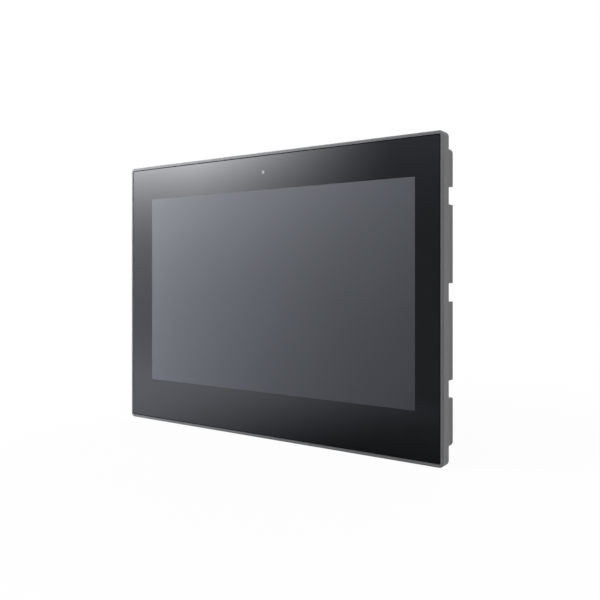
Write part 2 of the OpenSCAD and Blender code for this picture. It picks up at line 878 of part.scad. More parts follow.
module reset_plunger() {
    y_seat = y_board_rear + reset_t - plunger_seat;
    color([0.85, 0.85, 0.83]) at([switch_x, reset_z]) post(y_seat, y_seat + plunger_len, plunger_r);
}

// Ports

module power_inlet() {
    color([0.1, 0.3, 0.16]) difference() {
        port_box(power_x, power_size, z_face);
        translate([power_x, power_y, z_face + power_cavity[2] / 2 - cut / 2])
            cube([power_cavity[0], power_cavity[1], power_cavity[2] + cut], center = true);
        for (s = [-1, 1]) translate([power_x + s * power_nut_x, power_y, z_face - cut])
            cylinder(r = screw_r - pin_fit, h = power_cavity[2]);
    }
}

module power_pins() {
    y_low = power_y - power_cavity[1] / 2 + power_pin_lift;
    color(steel) for (i = [-1 : 1])
        translate([power_x + i * power_pin_pitch - power_pin_side / 2, y_low, z_face + pin_recess])
            cube([power_pin_side, power_pin_side, power_cavity[2] - pin_recess]);
}

// D-shaped outline of the serial port, seen from below
module d_outline(w, h, r) {
    slant = 0.8;
    hull() for (sx = [-1, 1], sy = [-1, 1])
        translate([sx * (w / 2 - r - (1 - sy) / 2 * slant), sy * (h / 2 - r)]) circle(r, $fn = 32);
}

module serial_shell() {
    color(steel) translate([serial_x, serial_y, z_port]) difference() {
        union() {
            translate([-serial_flange[0] / 2, -serial_flange[1] / 2, 0])
                cube([serial_flange[0], serial_flange[1], serial_flange[2]]);
            translate([0, 0, -shell_stand]) linear_extrude(shell_stand + serial_flange[2])
                d_outline(shell_w, shell_h, shell_r);
        }
        translate([0, 0, -shell_stand - cut]) linear_extrude(shell_stand + serial_flange[2] + 2 * cut)
            d_outline(shell_w - 2 * shell_wall, shell_h - 2 * shell_wall, shell_r - shell_wall);
        for (s = [-1, 1]) translate([s * serial_jack_pitch / 2, 0, -cut])
            cylinder(r = screw_r + pin_fit, h = serial_flange[2] + 2 * cut);
    }
}

module serial_insert() {
    body_t = 9;
    pin_rad = 0.5;
    pin_step = 2.77;
    pin_row = 2.84;
    rows = [[5, 1], [4, -1]];
    color(chip_black) translate([serial_x, serial_y, z_port + serial_flange[2]]) {
        translate([-shell_w / 2, -serial_flange[1] / 2, 0]) cube([shell_w, serial_flange[1], body_t]);
        for (row = rows, i = [0 : row[0] - 1])
            translate([(i - (row[0] - 1) / 2) * pin_step, row[1] * pin_row / 2, -shell_stand])
                cylinder(r = pin_rad, h = shell_stand + lap);
    }
}

module serial_jacks() {
    color(steel) for (s = [-1, 1])
        translate([serial_x + s * serial_jack_pitch / 2, serial_y, z_plate]) difference() {
            union() {
                translate([0, 0, -jack_len]) cylinder(r = jack_r, h = jack_len, $fn = 6);
                translate([0, 0, -lap])
                    cylinder(r = screw_r, h = plate_t + serial_flange[2] + lap);
            }
            translate([0, 0, -jack_len - cut]) cylinder(r = jack_hole_r, h = jack_len);
        }
}

module network_sockets() {
    cavity = [11.8, 8.2, 15];
    latch = [6, 1.6, 10];
    lift = 2.2;
    color(steel) for (x = lan_xs) difference() {
        port_box(x, lan_size, z_face);
        span([x - cavity[0] / 2, y_board_rear + lift, z_face - cut],
            [x + cavity[0] / 2, y_board_rear + lift + cavity[1], z_face + cavity[2]]);
        span([x - latch[0] / 2, y_board_rear + lift + cavity[1] - cut, z_face - cut],
            [x + latch[0] / 2, y_board_rear + lift + cavity[1] + latch[1], z_face + latch[2]]);
    }
}

module usb_shells() {
    color(steel) for (x = usb_xs) difference() {
        port_box(x, usb_size, z_face);
        span([x - usb_size[0] / 2 + usb_wall, y_board_rear + usb_wall, z_face - cut],
            [x + usb_size[0] / 2 - usb_wall, y_board_rear + usb_size[1] - usb_wall,
                z_face + usb_size[2] - usb_wall]);
    }
}

module usb_tongues() {
    tongue_w = 11;
    tongue_t = 1.9;
    tongue_in = 2.2;
    back_t = 3;
    color([0.92, 0.92, 0.92]) for (x = usb_xs) {
        z_back = z_face + usb_size[2] - usb_wall;
        y_low = y_board_rear + usb_wall;
        span([x - tongue_w / 2, y_low + pin_fit, z_back - back_t],
            [x + tongue_w / 2, y_low + usb_size[1] - 2 * usb_wall - pin_fit, z_back]);
        span([x - tongue_w / 2, y_low + tongue_in, z_face + pin_recess],
            [x + tongue_w / 2, y_low + tongue_in + tongue_t, z_back - back_t + lap]);
    }
}

module service_port() {
    shell_edge = 0.4;
    back_t = 1;
    tongue = [6, 0.7, service_size[2] - back_t - pin_recess];
    y_mid = y_board_rear + service_size[1] / 2;
    color(steel) translate([service_x, y_mid, z_face]) {
        difference() {
            linear_extrude(service_size[2]) rotate(90) round_slot(service_size[1], service_size[0]);
            translate([0, 0, -cut]) linear_extrude(service_size[2] - back_t + cut) rotate(90)
                round_slot(service_size[1] - 2 * shell_edge, service_size[0] - 2 * shell_edge);
        }
        translate([-tongue[0] / 2, -tongue[1] / 2, pin_recess])
            cube([tongue[0], tongue[1], tongue[2] + lap]);
    }
}

module card_socket() {
    slot = [24.6, 2.2, 24];
    color(steel) difference() {
        port_box(card_x, card_size, z_face);
        translate([card_x, y_board_rear + card_size[1] / 2, z_face + slot[2] / 2 - cut / 2])
            cube([slot[0], slot[1], slot[2] + cut], center = true);
    }
}

// Cut-out in the port plate for a port of the given size
module plate_hole(x, size) {
    span([x - size[0] / 2 - port_hole_gap, y_board_rear - port_hole_gap, z_plate - cut],
        [x + size[0] / 2 + port_hole_gap, y_board_rear + size[1] + port_hole_gap, z_port + cut]);
}

module port_plate() {
    color(steel) difference() {
        span([-bay_w / 2 + bay_gap, bay_floor + fit, z_plate],
            [bay_w / 2 - bay_gap, housing_depth - housing_rear_r / 2, z_port]);
        plate_hole(power_x, power_size);
        for (x = lan_xs) plate_hole(x, lan_size);
        for (x = usb_xs) plate_hole(x, usb_size);
        plate_hole(service_x, service_size);
        plate_hole(card_x, card_size);
        translate([serial_x, serial_y, z_plate - cut]) linear_extrude(plate_t + 2 * cut)
            d_outline(shell_w + 2 * port_hole_gap, shell_h + 2 * port_hole_gap, shell_r);
        for (s = [-1, 1]) {
            translate([serial_x + s * serial_jack_pitch / 2, serial_y, z_plate - cut])
                cylinder(r = screw_r + pin_fit, h = plate_t + 2 * cut);
            translate([s * plate_screw_x, serial_y, z_plate - cut])
                cylinder(r = screw_r + pin_fit, h = plate_t + 2 * cut);
        }
    }
}

module plate_screws() {
    depth = wall + plate_boss_t - plate_boss_floor - tip_gap / 2;
    color(steel) for (s = [-1, 1])
        translate([s * plate_screw_x, serial_y, z_plate]) rotate([-90, 0, 0]) screw(0, -depth - plate_t);
}

// Rear

// Clamp notches round the housing up to the depth rear, grown by a wall to leave their sides standing
module side_notches(grow, rear) {
    half = notch_w / 2 + grow;
    y_low = housing_depth - notch_depth - grow;
    both_sides() for (i = [-1 : 1])
        span([housing_w / 2 - notch_in - grow, y_low, notch_dz + i * notch_pitch - half],
            [housing_w / 2 + cut, rear, notch_dz + i * notch_pitch + half]);
    for (i = [-1.5 : 1.5])
        span([i * notch_pitch - half, y_low, housing_h / 2 - notch_in - grow],
            [i * notch_pitch + half, rear, housing_h / 2 + cut]);
    low_notch_x = bay_w / 2 + wall + notch_wall + notch_w / 2 + notch_side_gap;
    both_sides() span([low_notch_x - half, y_low, -housing_h / 2 - cut],
        [low_notch_x + half, rear, -housing_h / 2 + notch_in + grow]);
}

// Raised middle of the rear face, with sloping sides
module plateau() {
    foot = 0.5;
    at([0, plateau_z]) {
        edge_sweep(plateau_w, plateau_h, plateau_r)
            polygon([[0, housing_depth - foot], [plateau_r, housing_depth - foot],
                [plateau_r, housing_depth], [plateau_r - plateau_rise, y_plateau], [0, y_plateau]]);
        slab(housing_depth - foot, y_plateau)
            square([plateau_w - 2 * plateau_r, plateau_h - 2 * plateau_r], center = true);
    }
}

// Bay below the ports, grown by a wall to leave its floor and sides standing
module port_bay(grow) {
    span([-bay_w / 2 - grow, bay_floor - grow, -housing_h],
        [bay_w / 2 + grow, y_plateau + cut, z_port + grow]);
}

// Blocks that stay solid round the door's recess and its well
module door_surround() {
    half_w = door_w / 2 + fit + door_frame;
    half_h = door_h / 2 + fit + pin_len + door_frame;
    span([door_x - half_w, y_plateau - door_frame_depth, door_z - half_h],
        [door_x + half_w, y_plateau, door_z + half_h]);
    at([door_x, door_z]) slab(y_well, y_plateau)
        square([well_w + 2 * well_wall, well_h + 2 * well_wall], center = true);
}

// Space for the door, its barrel, its pins and the finger scoop, and the well behind it
module door_recess() {
    half_h = door_h / 2 + fit;
    translate([0, 0, door_z - half_h]) linear_extrude(2 * half_h) {
        translate([door_left - fit, y_door - pin_fit])
            square([door_w + 2 * fit, door_t + pin_fit + cut]);
        translate([hinge_x, hinge_y]) circle(hinge_r + fit);
    }
    translate([hinge_x, hinge_y, door_z - half_h - pin_len])
        cylinder(r = pin_r + pin_fit, h = 2 * (half_h + pin_len));
    at([door_x, door_z]) slab(y_well - cut, y_plateau + cut) square([well_w, well_h], center = true);
    at([door_left - fit, door_z]) slab(y_plateau - scoop_depth, y_plateau + cut) circle(scoop_r);
}

// Hollow inside of the housing
module housing_hollow() {
    difference() {
        union() {
            slab(y_frame_rear - cut, housing_depth - wall) round_rect(inside_w, inside_h, inside_r);
            inset = wall + plateau_rise;
            at([0, plateau_z]) slab(housing_depth - wall - cut, y_plateau - wall)
                round_rect(plateau_w - 2 * inset, plateau_h - 2 * inset, inside_r);
            span([port_window_edge - bay_w / 2, y_board_rear, z_port + wall],
                [bay_w / 2 - port_window_edge, y_port_room, z_face + lan_size[2] + fit]);
        }
        port_bay(wall);
        side_notches(notch_wall, housing_depth);
        door_surround();
        for (spot = well_spots) at(spot) post(y_chassis_rear, housing_depth, column_r);
        for (spot = bay_spots) at(spot) post(y_chassis_rear, bay_floor, column_r);
        both_sides() span([plate_screw_x - plate_boss_w / 2, serial_y - plate_boss_w / 2, z_port],
            [plate_screw_x + plate_boss_w / 2, serial_y + plate_boss_w / 2, z_port + wall + plate_boss_t]);
    }
}

// Rows of vent slots on the raised middle
module plateau_vents() {
    edge = 4;
    half_count = floor((plateau_w / 2 - plateau_rise - plateau_r) / vent_pitch);
    rows = [[plateau_top - plateau_rise - edge - vent_upper / 2, vent_upper],
        [-plateau_bottom + plateau_rise + edge + vent_lower / 2, vent_lower]];
    for (row = rows, i = [-half_count : half_count])
        at([i * vent_pitch, row[0]]) slab(y_plateau - wall - cut, y_plateau + cut)
            round_slot(vent_w, row[1]);
}

// Groups of vent slots through the top wall, between the notches and the screw columns
module top_vents() {
    y_mid = (bay_floor + housing_depth - wall) / 2;
    for (group = [-1.25, -0.75, 0, 0.75, 1.25], i = [-1 : 1])
        translate([group * notch_pitch + i * top_vent_pitch, y_mid, housing_h / 2 - wall - cut])
            linear_extrude(wall + 2 * cut) round_slot(vent_w, top_vent_len);
}

module rear_housing() {
    color(housing_grey) difference() {
        union() {
            edge_plate(housing_w, housing_h, housing_r, y_frame_rear, housing_depth, 0, housing_rear_r);
            plateau();
        }
        housing_hollow();
        port_bay(0);
        side_notches(0, y_plateau + cut);
        plateau_vents();
        top_vents();
        door_recess();
        for (spot = well_spots) at(spot) post(bay_floor, housing_depth + cut, well_r);
        for (spot = housing_spots) at(spot) post(y_frame_rear - cut, bay_floor + cut, screw_r + 2 * pin_fit);
        span([-bay_w / 2 + port_window_edge, y_board_rear - cut, z_port - cut],
            [bay_w / 2 - port_window_edge, y_port_room, z_port + wall + cut]);
        both_sides() translate([plate_screw_x, serial_y, z_port - cut])
            cylinder(r = screw_r + pin_fit, h = wall + plate_boss_t + cut - plate_boss_floor);
    }
}

module service_door() {
    rib_w = well_w - 4 * rib_gap;
    rib_high = well_h - 2 * rib_gap;
    color(housing_grey) {
        translate([0, 0, door_z - door_h / 2]) linear_extrude(door_h) {
            translate([door_left, y_door]) square([door_w - hinge_r, door_t]);
            translate([hinge_x, hinge_y]) circle(hinge_r);
        }
        translate([hinge_x, hinge_y, door_z - door_h / 2 - pin_len])
            cylinder(r = pin_r, h = door_h + 2 * pin_len);
        at([door_x - rib_gap, door_z]) slab(y_door - rib_h, y_door + lap) difference() {
            square([rib_w, rib_high], center = true);
            square([rib_w - 2 * rib_t, rib_high - 2 * rib_t], center = true);
        }
    }
}

module housing_screws() {
    color(steel) for (spot = housing_spots) at(spot) screw(bay_floor, thread_end + tip_gap);
}

bezel_frame();
front_glass();
border_print();
touch_sensor();
glass_tape();
panel_gasket();
status_light_pipe();
status_lamp();
status_board();
dust_gasket();
display_frame();
display_cell();
diffuser_films();
light_guide();
backlight_strip();
backlight_tray();
chassis_plate();
chassis_screws();
board_standoffs();
control_board();
board_screws();
processor();
thermal_pad();
heat_sink();
memory_chips();
capacitors();
power_coils();
display_connector();
display_cable();
touch_connector();
touch_cable();
battery_holder();
backup_battery();
setting_switch();
setting_slider(1);  // setting_slider_1
setting_slider(2);  // setting_slider_2
setting_slider(3);  // setting_slider_3
setting_slider(4);  // setting_slider_4
reset_switch();
reset_plunger();
power_inlet();
power_pins();
serial_shell();
serial_insert();
serial_jacks();
network_sockets();
usb_shells();
usb_tongues();
service_port();
card_socket();
port_plate();
plate_screws();
rear_housing();
service_door();
housing_screws();
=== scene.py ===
import math
import bpy
import bmesh
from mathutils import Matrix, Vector


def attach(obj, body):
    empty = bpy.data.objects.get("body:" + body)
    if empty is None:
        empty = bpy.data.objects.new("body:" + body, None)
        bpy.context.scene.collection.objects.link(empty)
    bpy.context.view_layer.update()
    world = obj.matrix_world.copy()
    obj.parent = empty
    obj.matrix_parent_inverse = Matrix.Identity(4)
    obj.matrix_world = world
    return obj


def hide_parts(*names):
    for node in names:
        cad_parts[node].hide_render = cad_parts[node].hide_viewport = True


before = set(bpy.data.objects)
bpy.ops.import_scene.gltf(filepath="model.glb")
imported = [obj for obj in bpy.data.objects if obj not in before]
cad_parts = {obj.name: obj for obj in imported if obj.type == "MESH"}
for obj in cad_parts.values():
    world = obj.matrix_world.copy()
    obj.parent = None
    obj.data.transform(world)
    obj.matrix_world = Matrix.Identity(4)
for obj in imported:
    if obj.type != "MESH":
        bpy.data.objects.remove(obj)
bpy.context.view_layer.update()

scene = bpy.context.scene
scene.view_settings.view_transform = "Standard"
mm = 0.001
um = 0.000001


def linked(name, data):
    thing = bpy.data.objects.new(name, data)
    scene.collection.objects.link(thing)
    return thing


# camera at the photograph's viewing angle
camera = {"place": (0.3365, -0.4502, 0.0164), "look": (-0.5644, 0.8255, 0.0), "lens": 41.15,
          "sensor": 36.0, "shiftY": -0.0417, "nearest": 10 * mm}
eye = linked("photoCamera", bpy.data.cameras.new("photoCamera"))
eye.location = camera["place"]
eye.rotation_euler = Vector(camera["look"]).to_track_quat("-Z", "Y").to_euler()
eye.data.lens = camera["lens"]
eye.data.sensor_width = camera["sensor"]
eye.data.sensor_fit = "HORIZONTAL"
eye.data.shift_y = camera["shiftY"]
eye.data.clip_start = camera["nearest"]
scene.camera = eye
print("camera set")


# node helpers shared by the finishes
def startFinish(name):
    material = bpy.data.materials.new(name)
    material.use_nodes = True
    tree = material.node_tree
    tree.nodes.clear()
    out = tree.nodes.new("ShaderNodeOutputMaterial")
    shader = tree.nodes.new("ShaderNodeBsdfPrincipled")
    tree.links.new(shader.outputs["BSDF"], out.inputs["Surface"])
    place = tree.nodes.new("ShaderNodeTexCoord").outputs["Object"]
    return material, tree, shader, place


def stretched(tree, place, scale, turn=(0, 0, 0)):
    mapping = tree.nodes.new("ShaderNodeMapping")
    mapping.inputs["Scale"].default_value = scale
    mapping.inputs["Rotation"].default_value = turn
    tree.links.new(place, mapping.inputs["Vector"])
    return mapping.outputs["Vector"]


def noise(tree, place, scale, detail=3.0, rough=0.55):
    node = tree.nodes.new("ShaderNodeTexNoise")
    node.inputs["Scale"].default_value = scale
    node.inputs["Detail"].default_value = detail
    node.inputs["Roughness"].default_value = rough
    tree.links.new(place, node.inputs["Vector"])
    return node.outputs["Fac"]


def spread(tree, value, low, high, fromLow=0.3, fromHigh=0.7):
    node = tree.nodes.new("ShaderNodeMapRange")
    node.inputs["From Min"].default_value = fromLow
    node.inputs["From Max"].default_value = fromHigh
    node.inputs["To Min"].default_value = low
    node.inputs["To Max"].default_value = high
    tree.links.new(value, node.inputs["Value"])
    return node.outputs["Result"]


def tint(colour, factor):
    return tuple(min(1.0, channel * factor) for channel in colour)


def shaded(tree, value, colour, dark, light, low=0.3, high=0.7):
    node = tree.nodes.new("ShaderNodeValToRGB")
    points = node.color_ramp.elements
    points.new(0.5)
    for point, where, factor in zip(points, (low, 0.5, high), (dark, 1.0, light)):
        point.position = where
        point.color = (*tint(colour, factor), 1.0)
    tree.links.new(value, node.inputs["Fac"])
    return node.outputs["Color"]


def maths(tree, operation, first, second=None):
    node = tree.nodes.new("ShaderNodeMath")
    node.operation = operation
    for socket, value in zip(node.inputs, (first, second)):
        if value is None:
            continue
        if isinstance(value, (int, float)):
            socket.default_value = value
        else:
            tree.links.new(value, socket)
    return node.outputs["Value"]


def plus(tree, first, second):
    return maths(tree, "ADD", first, second)


def minus(tree, first, second):
    return maths(tree, "SUBTRACT", first, second)


def times(tree, first, second):
    return maths(tree, "MULTIPLY", first, second)


def blended(tree, first, second, share):
    return plus(tree, times(tree, first, share), times(tree, second, 1 - share))


def bump(tree, shader, height, depth):  # depth in micrometres
    node = tree.nodes.new("ShaderNodeBump")
    node.inputs["Strength"].default_value = 1.0
    node.inputs["Distance"].default_value = depth * um
    tree.links.new(height, node.inputs["Height"])
    tree.links.new(node.outputs["Normal"], shader.inputs["Normal"])


# a finish with mottled colour, uneven roughness and a fine surface grain
def mottledFinish(name, colour, rough, grain, depth, metal=0.0, vary=0.1, patch=60.0, specular=0.5):
    material, tree, shader, place = startFinish(name)
    broad = noise(tree, place, patch, detail=2.0)
    fine = noise(tree, place, grain, detail=4.0)
    mixed = blended(tree, broad, fine, share=0.6)
    shade = shaded(tree, mixed, colour, dark=1 - vary, light=1 + vary)
    tree.links.new(shade, shader.inputs["Base Color"])
    tree.links.new(spread(tree, mixed, *rough), shader.inputs["Roughness"])
    shader.inputs["Metallic"].default_value = metal
    shader.inputs["Specular IOR Level"].default_value = specular
    bump(tree, shader, fine, depth)
    return material


# the moulded plastic of the rear: spark-eroded grain with faint flow marks
def mouldedFinish(name, colour):
    look = {"cell": 1500.0, "fine": 2600.0, "flow": (14.0, 14.0, 5.0), "rough": (0.5, 0.66), "shine": 0.36,
            "depth": 110}
    material, tree, shader, place = startFinish(name)
    cells = tree.nodes.new("ShaderNodeTexVoronoi")
    cells.inputs["Scale"].default_value = look["cell"]
    tree.links.new(place, cells.inputs["Vector"])
    grain = blended(tree, cells.outputs["Distance"], noise(tree, place, look["fine"]), share=0.55)
    flow = noise(tree, stretched(tree, place, look["flow"]), scale=1.0)
    mixed = blended(tree, flow, grain, share=0.7)
    shade = shaded(tree, mixed, colour, dark=0.92, light=1.07, low=0.28, high=0.72)
    tree.links.new(shade, shader.inputs["Base Color"])
    tree.links.new(spread(tree, grain, *look["rough"]), shader.inputs["Roughness"])
    shader.inputs["Specular IOR Level"].default_value = look["shine"]
    bump(tree, shader, grain, look["depth"])
    return material


# powder paint on the cast frame: orange peel, satin sheen, fine specks, and a lip that hands have polished
def paintFinish(name, colour):
    look = {"peel": 620.0, "speck": 5200.0, "cloud": 24.0, "rough": (0.44, 0.56), "shine": 0.36, "depth": 30,
            "lipFront": -10.4 * mm, "lipRear": -9.9 * mm, "polish": 0.28}
    material, tree, shader, place = startFinish(name)
    peel = noise(tree, place, look["peel"], detail=2.0)
    speck = noise(tree, place, look["speck"], detail=2.0)
    mixed = blended(tree, noise(tree, place, look["cloud"]), speck, share=0.55)
    shade = shaded(tree, mixed, colour, dark=0.9, light=1.1, high=0.72)
    tree.links.new(shade, shader.inputs["Base Color"])
    split = tree.nodes.new("ShaderNodeSeparateXYZ")
    tree.links.new(place, split.inputs["Vector"])
    rubbed = spread(tree, split.outputs["Y"], look["polish"], 0.0, look["lipFront"], look["lipRear"])
    tree.links.new(minus(tree, spread(tree, peel, *look["rough"]), rubbed), shader.inputs["Roughness"])
    shader.inputs["Specular IOR Level"].default_value = look["shine"]
    bump(tree, shader, blended(tree, peel, speck, share=0.75), look["depth"])
    return material


# sheet with rolling marks along one direction
def rolledFinish(name, colour, rough, stretch, depth, metal):
    material, tree, shader, place = startFinish(name)
    lines = noise(tree, stretched(tree, place, stretch), scale=1.0, detail=4.0, rough=0.6)
    cloud = noise(tree, place, scale=35.0)
    shade = shaded(tree, blended(tree, lines, cloud, share=0.6), colour, dark=0.86, light=1.08)
    tree.links.new(shade, shader.inputs["Base Color"])
    tree.links.new(spread(tree, lines, *rough), shader.inputs["Roughness"])
    shader.inputs["Metallic"].default_value = metal
    bump(tree, shader, lines, depth)
    return material


# solder mask over copper tracks, with small plated holes
def boardFinish(name):
    look = {"mask": (0.012, 0.11, 0.05), "track": (0.022, 0.17, 0.078), "hole": (0.55, 0.5, 0.36),
            "holeScale": 150.0, "holeSize": 0.075, "grain": 400.0, "rough": (0.28, 0.4), "depth": 40}
    rows = {"Scale": 95.0, "Mortar Size": 0.055, "Mortar Smooth": 0.1, "Bias": 0.0, "Brick Width": 1.9,
            "Row Height": 0.24}
    material, tree, shader, place = startFinish(name)
    turned = stretched(tree, place, (1.0, 1.0, 1.0), (math.pi / 2, 0, 0))
    tracks = tree.nodes.new("ShaderNodeTexBrick")
    for socket, value in rows.items():
        tracks.inputs[socket].default_value = value
    tracks.inputs["Color1"].default_value = (*look["mask"], 1)
    tracks.inputs["Color2"].default_value = (*tint(look["mask"], factor=1.12), 1)
    tracks.inputs["Mortar"].default_value = (*look["track"], 1)
    tree.links.new(turned, tracks.inputs["Vector"])
    holes = tree.nodes.new("ShaderNodeTexVoronoi")
    holes.inputs["Scale"].default_value = look["holeScale"]
    tree.links.new(turned, holes.inputs["Vector"])
    dot = maths(tree, "LESS_THAN", holes.outputs["Distance"], look["holeSize"])
    mix = tree.nodes.new("ShaderNodeMix")
    mix.data_type = "RGBA"
    tree.links.new(dot, mix.inputs["Factor"])
    tree.links.new(tracks.outputs["Color"], mix.inputs["A"])
    mix.inputs["B"].default_value = (*look["hole"], 1)
    tree.links.new(mix.outputs["Result"], shader.inputs["Base Color"])
    uneven = noise(tree, place, look["grain"])
    tree.links.new(spread(tree, uneven, *look["rough"]), shader.inputs["Roughness"])
    bump(tree, shader, tracks.outputs["Fac"], look["depth"])
    return material


# clear pieces: light from the lamps passes straight through
def clearFinish(name, colour, rough, bend, grain):
    material, tree, shader, place = startFinish(name)
    out = next(node for node in tree.nodes if node.type == "OUTPUT_MATERIAL")
    shader.inputs["Base Color"].default_value = (*colour, 1)
    shader.inputs["Transmission Weight"].default_value = 1.0
    shader.inputs["IOR"].default_value = bend
    tree.links.new(spread(tree, noise(tree, place, grain, detail=2.0), *rough), shader.inputs["Roughness"])
    ray = tree.nodes.new("ShaderNodeLightPath")
    through = tree.nodes.new("ShaderNodeBsdfTransparent")
    through.inputs["Color"].default_value = (*tint(colour, factor=0.94), 1)
    mix = tree.nodes.new("ShaderNodeMixShader")
    tree.links.new(ray.outputs["Is Shadow Ray"], mix.inputs["Fac"])
    tree.links.new(shader.outputs["BSDF"], mix.inputs[1])
    tree.links.new(through.outputs["BSDF"], mix.inputs[2])
    tree.links.new(mix.outputs["Shader"], out.inputs["Surface"])
    return material


# finishes, one or more for each material slot
finishes = {
    "framePaint": paintFinish("framePaint", (0.138, 0.138, 0.142)),
    "housingPlastic": mouldedFinish("housingPlastic", (0.142, 0.142, 0.144)),
    "circuitBoard": boardFinish("circuitBoard"),
    "sensorGlass": clearFinish("sensorGlass", (0.98, 0.985, 0.98), (0.1, 0.14), 1.01, 300.0),
    "clearAcrylic": clearFinish("clearAcrylic", (0.9, 0.95, 0.97), (0.02, 0.06), 1.49, 200.0),
}
mottled = {  # colour, roughness, grain's scale and depth in micrometres, and what else differs
    "mattScreen": ((0.0222, 0.024, 0.0272), (0.36, 0.42), 2400.0, 0, {"vary": 0.05, "patch": 8.0}),
    "borderInk": ((0.006, 0.006, 0.0065), (0.4, 0.5), 900.0, 2, {"specular": 0.0}),
    "borderGloss": ((0.006, 0.006, 0.0065), (0.004, 0.012), 900.0, 0, {}),
    "displayPolariser": ((0.0242, 0.026, 0.0298), (0.36, 0.44), 5200.0, 4,
                         {"vary": 0.06, "patch": 8.0, "specular": 0.1}),
    "blackFoam": ((0.014, 0.014, 0.015), (0.85, 0.95), 1800.0, 100,
                  {"vary": 0.35, "patch": 700.0, "specular": 0.2}),
    "gasketRubber": ((0.017, 0.017, 0.018), (0.55, 0.72), 1200.0, 30, {"vary": 0.2, "specular": 0.35}),
    "lightPipe": ((0.34, 0.35, 0.345), (0.3, 0.4), 700.0, 5, {"vary": 0.08, "patch": 300.0}),
    "lampLens": ((0.8, 0.78, 0.5), (0.2, 0.3), 900.0, 5, {"vary": 0.08}),
    "diffuserWhite": ((0.82, 0.82, 0.83), (0.6, 0.7), 2600.0, 10, {"vary": 0.03}),
    "screwSteel": ((0.5, 0.5, 0.51), (0.24, 0.38), 1600.0, 10, {"metal": 1.0, "vary": 0.14, "patch": 420.0}),
    "cellSteel": ((0.63, 0.63, 0.64), (0.22, 0.32), 1100.0, 8, {"metal": 1.0, "vary": 0.06}),
    "pinMetal": ((0.72, 0.7, 0.66), (0.2, 0.32), 1800.0, 5, {"metal": 1.0, "vary": 0.08}),
    "contactGold": ((0.78, 0.56, 0.2), (0.18, 0.3), 1800.0, 4, {"metal": 1.0}),
    "brass": ((0.6, 0.45, 0.19), (0.26, 0.4), 1300.0, 10, {"metal": 1.0, "vary": 0.14}),
    "solderTin": ((0.62, 0.62, 0.62), (0.26, 0.4), 2200.0, 10, {"metal": 1.0, "vary": 0.12}),
    "chipBlack": ((0.018, 0.018, 0.019), (0.42, 0.58), 2600.0, 20, {"vary": 0.18}),
    "chipBrown": ((0.2, 0.13, 0.075), (0.4, 0.52), 2400.0, 10, {"vary": 0.12}),
    "padGrey": ((0.24, 0.27, 0.3), (0.75, 0.9), 900.0, 30, {}),
    "capacitorSleeve": ((0.03, 0.034, 0.05), (0.28, 0.4), 800.0, 10, {}),
    "coilFerrite": ((0.05, 0.05, 0.052), (0.6, 0.75), 1500.0, 40, {"vary": 0.25}),
    "connectorIvory": ((0.62, 0.58, 0.47), (0.45, 0.58), 1300.0, 10, {"vary": 0.06}),
    "flexFilm": ((0.42, 0.2, 0.035), (0.24, 0.36), 700.0, 6, {"vary": 0.12}),
    "switchBlue": ((0.012, 0.045, 0.2), (0.36, 0.5), 1900.0, 10, {}),
    "sliderWhite": ((0.72, 0.72, 0.69), (0.38, 0.5), 1900.0, 10, {"vary": 0.05}),
    "inletGreen": ((0.018, 0.12, 0.045), (0.4, 0.54), 1500.0, 15, {}),
    "lampGreen": ((0.16, 0.42, 0.14), (0.2, 0.3), 1200.0, 5, {"vary": 0.08}),
    "lampAmber": ((0.55, 0.27, 0.05), (0.2, 0.3), 1200.0, 5, {"vary": 0.08}),
}
rolled = {  # colour, roughness, stretch of the marks, depth in micrometres, metal
    "sheetSteel": ((0.56, 0.56, 0.57), (0.3, 0.46), (9.0, 1400.0, 1400.0), 12, 1.0),
    "shellSteel": ((0.66, 0.65, 0.63), (0.2, 0.34), (700.0, 700.0, 26.0), 6, 1.0),
    "sinkAluminium": ((0.6, 0.6, 0.61), (0.3, 0.45), (1500.0, 1500.0, 18.0), 12, 1.0),
    "cableFilm": ((0.6, 0.56, 0.42), (0.3, 0.42), (900.0, 20.0, 20.0), 6, 0.0),
}
for finishName, (*values, others) in mottled.items():
    finishes[finishName] = mottledFinish(finishName, *values, **others)
for finishName, values in rolled.items():
    finishes[finishName] = rolledFinish(finishName, *values)
print("finishes made:", len(finishes))

wears = {  # which finish each solid wears
    "framePaint": ["bezel_frame"], "housingPlastic": ["rear_housing", "service_door"],
    "mattScreen": ["front_glass"], "borderInk": ["border_print"], "sensorGlass": ["touch_sensor"],
    "displayPolariser": ["display_cell"], "blackFoam": ["glass_tape", "dust_gasket"],
    "gasketRubber": ["panel_gasket"], "lightPipe": ["status_light_pipe"],
    "lampLens": ["status_lamp", "backlight_strip"], "clearAcrylic": ["light_guide"],
    "diffuserWhite": ["diffuser_films", "usb_tongues"], "circuitBoard": ["control_board", "status_board"],
    "sheetSteel": ["display_frame", "backlight_tray", "chassis_plate", "port_plate"],
    "screwSteel": ["chassis_screws", "board_screws", "plate_screws", "housing_screws", "serial_jacks"],
    "shellSteel": ["serial_shell", "network_sockets", "usb_shells", "service_port", "card_socket"],
    "cellSteel": ["backup_battery"], "pinMetal": ["power_pins"], "brass": ["board_standoffs"],
    "chipBlack": ["processor", "memory_chips", "battery_holder", "reset_switch", "serial_insert"],
    "padGrey": ["thermal_pad"], "sinkAluminium": ["heat_sink"], "capacitorSleeve": ["capacitors"],
    "coilFerrite": ["power_coils"], "connectorIvory": ["display_connector", "touch_connector"],
    "cableFilm": ["display_cable"], "flexFilm": ["touch_cable"], "switchBlue": ["setting_switch"],
    "sliderWhite": ["setting_slider_1", "setting_slider_2", "setting_slider_3", "setting_slider_4",
                    "reset_plunger"],
    "inletGreen": ["power_inlet"],
}
dressed = 0
for finishName, nodeNames in wears.items():
    for nodeName in nodeNames:
        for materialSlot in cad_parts[nodeName].material_slots:
            materialSlot.material = finishes[finishName]
        dressed += 1
